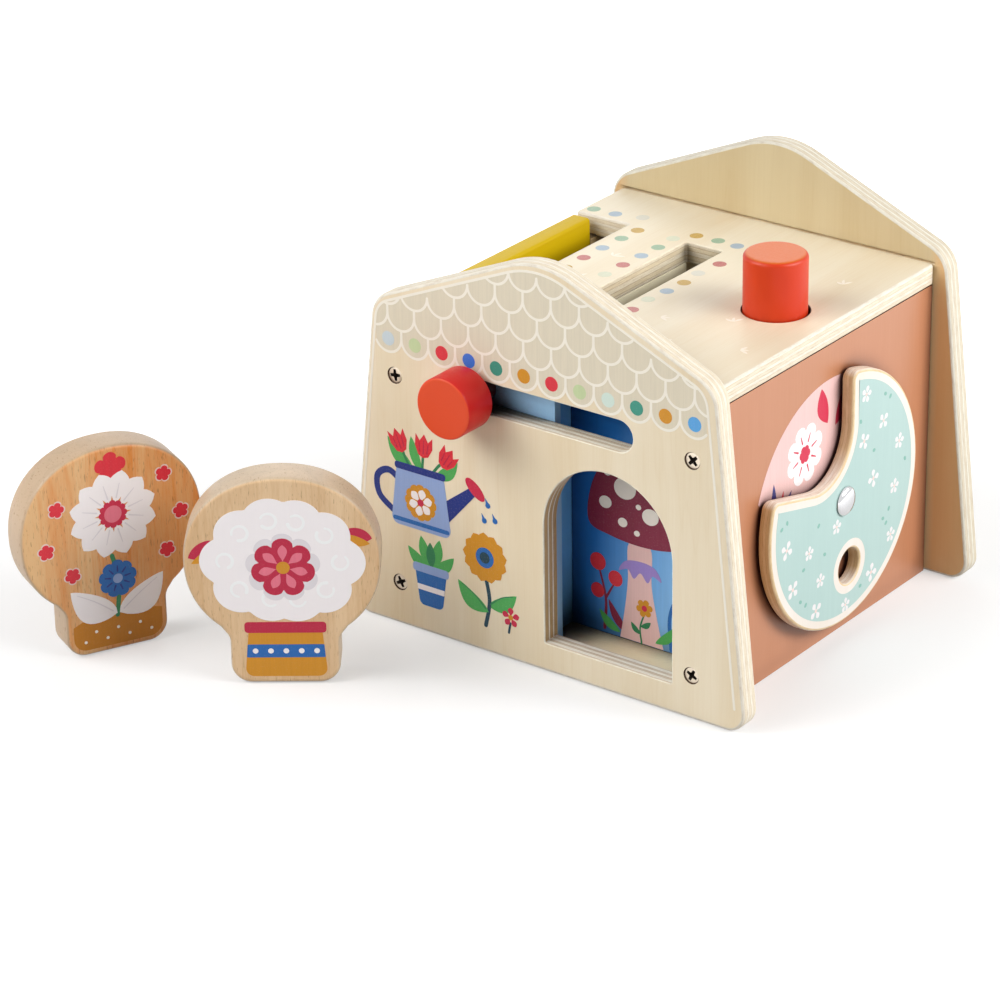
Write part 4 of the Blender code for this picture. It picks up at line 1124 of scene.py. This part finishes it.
for spot, radius, outer, heart in (((-18, 28), 13.5, "white", "raspberry"), ((27, 24), 13, "raspberry", "ochre"),
                                   ((27, -28), 12, "white", "cobalt"), ((-25, -24), 13, "periwinkle", "navy")):
    art.add(1, outer, bloom(spot, radius, 8, 0.24, 20))
    art.add(2, heart, *(stroke(ray, 0.9, 0.5) for ray in rays(spot, radius * 0.42, radius * 0.68, 8, 20)),
            bloom(spot, radius * 0.3, 6, 0.2))
art.finish()

# ---- print on the panel behind the archway
art = Print("panel_print", "house", facing(PANEL_FACE))
art.add(0, "maroon", leaf((24, 12), (14, 26), 4, 1.2, 0.9), line([(12, 12), (12.6, 26), (9, 40)], 1.6, 0.9),
        stroke([(12.6, 26), (17, 34)], 1.2, 0.8))
art.add(0, "red", ellipse((8.6, 42), 4.0), ellipse((17.6, 36.4), 3.6), ellipse((8.4, 28.6), 3.4))
art.add(0, "cobalt", line([(46, 11), (45, 24), (47.4, 33), (52, 35.6), (55, 32), (53, 28.6)], 1.8, 1.2))
art.add(0, "pink", curve([(20, 10), (22.4, 24), (24, 38), (24.6, 55), (35.4, 55), (36, 38), (38.6, 24), (42, 10)][::-1])
        + [(20, 10)])
art.add(1, "maroon", curve([(4, 60), (6, 78), (16, 94), (30, 99.5), (44, 96), (56, 82), (58, 62), (46, 56.6),
                            (31, 54.6), (15, 55.8)], True))
art.add(2, "cream", *(ellipse((x, z), size, size * 0.88, 15) for x, z, size in (
    (12.6, 70.5, 3.2), (21.4, 63.4, 2.4), (22.6, 79.2, 5.6), (35.4, 69.4, 4.2), (33.6, 90, 4.0), (45.6, 79, 3.2),
    (47.6, 63.6, 2.2), (42.4, 91.6, 2.2), (28.6, 60.2, 1.5), (54.6, 71, 2.2), (13.8, 84.6, 2.0), (29.4, 72.4, 1.4))))
art.add(2, "lilac", curve([(22.6, 46), (19.4, 41), (24, 42.6), (27, 39), (30.4, 42.4), (34, 38.8), (36.6, 42.6),
                           (41, 41), (37.6, 46.4), (30, 47.6)], True))
art.add(2, "green", leaf((38, 12), (49, 23), 4.4, -1.5, 0.9), leaf((20, 12), (9.4, 20), 4.2, 1.2, 0.9))
art.add(2, "leaf", line([(31, 10), (30.2, 17), (32.4, 24)], 0.9, 0.7), leaf((30.6, 14), (25.6, 18.6), 2.6, 0.6),
        leaf((30.4, 17.6), (35.6, 20.8), 2.6, -0.6))
STEM_FLOWER = (32.4, 26.6)
art.add(3, "ochre", bloom(STEM_FLOWER, 4.2, 6, 0.34, 12))
art.add(4, "raspberry", circle(STEM_FLOWER, 1.4, 18))
art.finish()

# ---- print on the rear figure
art = Print("daisy_print", "daisy_figure", facing(-FIGURE_HALF, figures["daisy"]), 0.05)
hill = curve([(-20.2, 14.2), (-12, 17.5), (-3, 18.4), (8, 18), (20.2, 15.2)])
foot = [p for p in grow(FIGURE, -2.6) if p[1] < min(hill[0][1], hill[-1][1])]
art.add(0, "deep_ochre", [*sorted((p for p in foot if p[0] < 0), key=lambda p: -p[1]),
                          *sorted((p for p in foot if p[0] >= 0), key=lambda p: p[1]), *reversed(hill)])
art.add(0, "leaf", line([(-1, 44), (1.5, 32), (0, 16)], 2.0))
small = ((-24.5, 70.2), (-30, 52), (-19, 38.6), (24, 76.6), (31, 58), (24, 41.4))
art.add(1, "blush", *(bloom(spot, 4.1, 5, 0.3, 25 * i) for i, spot in enumerate(small)))
art.add(1, "white", leaf((0, 17), (-20.5, 31), 13, 3.0, 0.85), leaf((1, 17), (21.5, 31.5), 13, -3.0, 0.85))
art.add(1, "red", bloom((0.5, 84.2), 7.2, 5, 0.32, 90))
art.add(2, "red", *(bloom(spot, 3.5, 5, 0.3, 25 * i) for i, spot in enumerate(small)))
DAISY, BLUE_FLOWER = (0.5, 63), (1, 33)
art.add(2, "white", *(leaf(*ray, 9.4, belly=1.7) for ray in rays(DAISY, 3, 19.8, 12, 15)))
art.add(2, "shade", line([(-2, 18.4), (-10, 24.5), (-17.6, 29)], 0.6, 0.3),
        line([(3, 18.4), (11, 24.5), (18.6, 29.4)], 0.6, 0.3))
art.add(3, "shade", *(stroke(ray, 0.7, 0.35) for ray in rays(DAISY, 7.5, 14, 12, 15)))
art.add(3, "raspberry", bloom(DAISY, 6.4, 12, 0.14))
art.add(3, "cobalt", bloom(BLUE_FLOWER, 8.6, 9, 0.14, 10))
art.add(4, "rose", circle(DAISY, 3.9, 28))
art.add(4, "navy", *(stroke(ray, 0.8, 0.5) for ray in rays(BLUE_FLOWER, 3.4, 5.8, 9, 9.74)))
art.add(4, "periwinkle", circle(BLUE_FLOWER, 2.2, 20))
art.add(4, "cream", *(circle((-15 + 5 * k, 6.4 + 4 * (k % 2)), 0.7, 12) for k in range(7)))
art.finish()

# ---- print on the front figure
art = Print("pot_print", "pot_figure", facing(-FIGURE_HALF, figures["pot"]), 0.05)
art.add(0, "crimson", leaf((-29, 66), (-38.6, 58), 7.4, 1.6), leaf((28, 71), (37.5, 66.4), 7.0, -1.4))
art.add(0, "ochre", leaf((-28, 63.4), (-37.4, 55.4), 4.0, 1.2), leaf((28, 68.2), (36.6, 64.0), 4.0, -1.2),
        band((-17, 17.6, 3.2, 3.5), (-14.6, 15.4, 28, 2), 15))

# a cloud of round puffs, each given by its reach from the middle and its angle in radians
PUFF_R, PUFF_IN, CURL_IN, CURL_R, CLOUD_Z, CLOUD_WIDE, CLOUD_TALL = 11.2, 10.6, 9.6, 3.3, 55.6, 1.03, 0.99
PUFFS = ((33, 0.0), (31, 0.62), (29, 1.25), (29.5, 1.82), (31, 2.45), (32.5, 3.1), (31, 3.75), (27, 4.42),
         (27.5, 5.05), (31, 5.65))


def in_cloud(reach, angle):
    return CLOUD_WIDE * reach * math.cos(angle), CLOUD_Z + CLOUD_TALL * reach * math.sin(angle)


cloud = []
for i in range(180):
    angle = math.tau * i / 180
    reach = 0.0
    for far, turn in PUFFS:
        gap = math.acos(max(-1, min(1, math.cos(angle - turn))))
        centre = far - PUFF_IN
        if abs(centre * math.sin(gap)) < PUFF_R and gap < 1.2:
            reach = max(reach, centre * math.cos(gap) + math.sqrt(PUFF_R ** 2 - (centre * math.sin(gap)) ** 2))
    cloud.append(in_cloud(reach, angle))
art.add(1, "white", cloud)
for far, turn in PUFFS:
    start = math.degrees(turn) + 120
    art.add(2, "curl", stroke(arc(in_cloud(far - CURL_IN, turn), CURL_R, start, start + 290, 20), 1.5, 1.0))
FLOWER = (0.4, 53.4)
art.add(2, "shade", bloom(FLOWER, 15.6, 9, 0.16, 10))
art.add(2, "cobalt", band((-16.1, 16.8, 12, 0.4), (-15.6, 16.3, 18, 0.4), 45))
art.add(2, "crimson", band((-16.6, 17.4, 23.4, 1.4), (-16.6, 17.4, 28.4, 1.4), 30))
art.add(3, "crimson", bloom(FLOWER, 13.4, 7, 0.24, 90))
art.add(3, "white", *(circle((-12.4 + 6.4 * k, 15), 1.2, 16) for k in range(5)))
art.add(4, "rose", *(leaf(*ray, 3.9, belly=1.4) for ray in rays(FLOWER, 2.8, 10.4, 7, 90)))
art.add(4, "ochre", circle(FLOWER, 2.8, 24))
art.finish()

# ---- studio, in metres
LAMP_AWAY, LAMP_AIM = 1.6, 0.08             # from the object, and the height that the lamps look at
FLOOR_HALF, FLOOR_DROP = 6, 0.0004          # the floor lies just under the object
# each softbox: its angle round the object from +X, its angle above the floor, its size and its power
for name, turn, height, size, power in (
        ("key_low", -115, 30, 0.9, 3.8), ("key_left", -140, 35, 0.9, 7.1), ("key_high", -128, 42, 0.9, 8.5),
        ("key_front", -100, 28, 0.9, 3.15), ("side_low", 20, 25, 0.7, 13.3), ("side_back", 40, 25, 0.7, 3.7),
        ("side_front", 0, 35, 0.7, 11.7), ("back_left", 127, 27, 1.1, 4.5), ("top", 90, 80, 1.2, 0.6)):
    data = bpy.data.lights.new(name, "AREA")
    data.shape, data.size, data.energy = "SQUARE", size, power
    lamp = bpy.data.objects.new(name, data)
    away = (Matrix.Rotation(math.radians(turn), 3, "Z") @ Matrix.Rotation(-math.radians(height), 3, "Y")
            @ Vector((LAMP_AWAY, 0, 0)))
    lamp.location = away + Vector((0, 0, LAMP_AIM))
    lamp.rotation_euler = away.to_track_quat("Z", "Y").to_euler()
    bpy.context.collection.objects.link(lamp)

# the world is bright to the camera and in reflections, and lights the scene only dimly
WHITE = (1, 1, 1, 1)
world = bpy.data.worlds.new("studio")
bpy.context.scene.world = world
world.use_nodes = True
world.node_tree.nodes.clear()
sky = Tree(world.node_tree)
ray = sky.add("LightPath").outputs
seen = sky.math("MAXIMUM", ray["Is Camera Ray"],
                sky.math("MAXIMUM", ray["Is Glossy Ray"], ray["Is Transmission Ray"]))
dim, bright = (sky.add("Background", {"Color": WHITE, "Strength": power}).outputs[0] for power in (0.05, 1.0))
sky.add("OutputWorld", {"Surface": sky.add("MixShader", {"Fac": seen, 1: dim, 2: bright}).outputs[0]})

# the floor shows pale to the camera and in reflections, the more so the farther it is from the object
floor_mesh = bpy.data.meshes.new("studio_floor")
floor_corners = [(x, y, 0) for x, y in box(-FLOOR_HALF, FLOOR_HALF, -FLOOR_HALF, FLOOR_HALF)]
floor_mesh.from_pydata(floor_corners, [], [(0, 1, 2, 3)])
floor = bpy.data.objects.new("studio_floor", floor_mesh)
floor.location.z = -FLOOR_DROP
bpy.context.collection.objects.link(floor)
look = Look("studio_floor_look")
look.tree.nodes.remove(look.shader)
spot = look.add("TexCoord").outputs["Object"]


def distance(x, y):
    return look.add("VectorMath", {0: spot, 1: (x, y, 0)}, operation="DISTANCE").outputs["Value"]


away = [look.math("SUBTRACT", distance(x, y), reach) for x, y, reach in ((0, 0, 0.10), (-0.125, -0.165, 0.07))]
glow = look.span(look.math("MINIMUM", *away), -0.05, 0.45, 0.34, 1.10)
# patches near the house's front and right darken the floor, a painted shadow, and one near the figures lightens it,
# painted light
for x, y, reach, amount in ((-0.035, -0.125, 0.07, -0.10), (-0.135, -0.162, 0.07, 0.12), (0.1, -0.06, 0.08, -0.04)):
    shade_and_light_patch = look.add("MapRange", {"Value": distance(x, y), "From Min": 0.0, "From Max": reach, "To Min": amount,
                                  "To Max": 0.0}, interpolation_type="SMOOTHSTEP")
    glow = look.plus(glow, shade_and_light_patch.outputs["Result"])
ray = look.add("LightPath").outputs
seen = look.math("MAXIMUM", ray["Is Camera Ray"], ray["Is Glossy Ray"])
matt = look.add("BsdfDiffuse", {"Color": (0.55, 0.55, 0.55, 1)})
lift = look.add("Emission", {"Color": WHITE, "Strength": look.times(seen, glow)})
both = look.add("AddShader", {0: matt.outputs[0], 1: lift.outputs[0]})
look.tree.links.new(both.outputs[0], look.tree.nodes["Material Output"].inputs["Surface"])
floor_mesh.materials.append(look.material)

# ---- camera, as fitted to the photograph
camera_data = bpy.data.cameras.new("camera")
camera_data.sensor_width, camera_data.lens = 36.0, 148.07
camera_data.clip_start, camera_data.clip_end = 0.05, 20.0
camera = bpy.data.objects.new("camera", camera_data)
right = Vector((0.79947749, 0.60050483, -0.01515604))
down = Vector((0.24287110, -0.34621531, -0.90617249))
ahead = Vector((-0.54940821, 0.72078354, -0.42263661))
turn = Matrix((right, -down, -ahead)).transposed().to_4x4()
camera.matrix_world = Matrix.Translation((0.91545, -1.32000, 0.79337)) @ turn
bpy.context.collection.objects.link(camera)
bpy.context.scene.camera = camera
bpy.context.scene.view_settings.view_transform = "Standard"
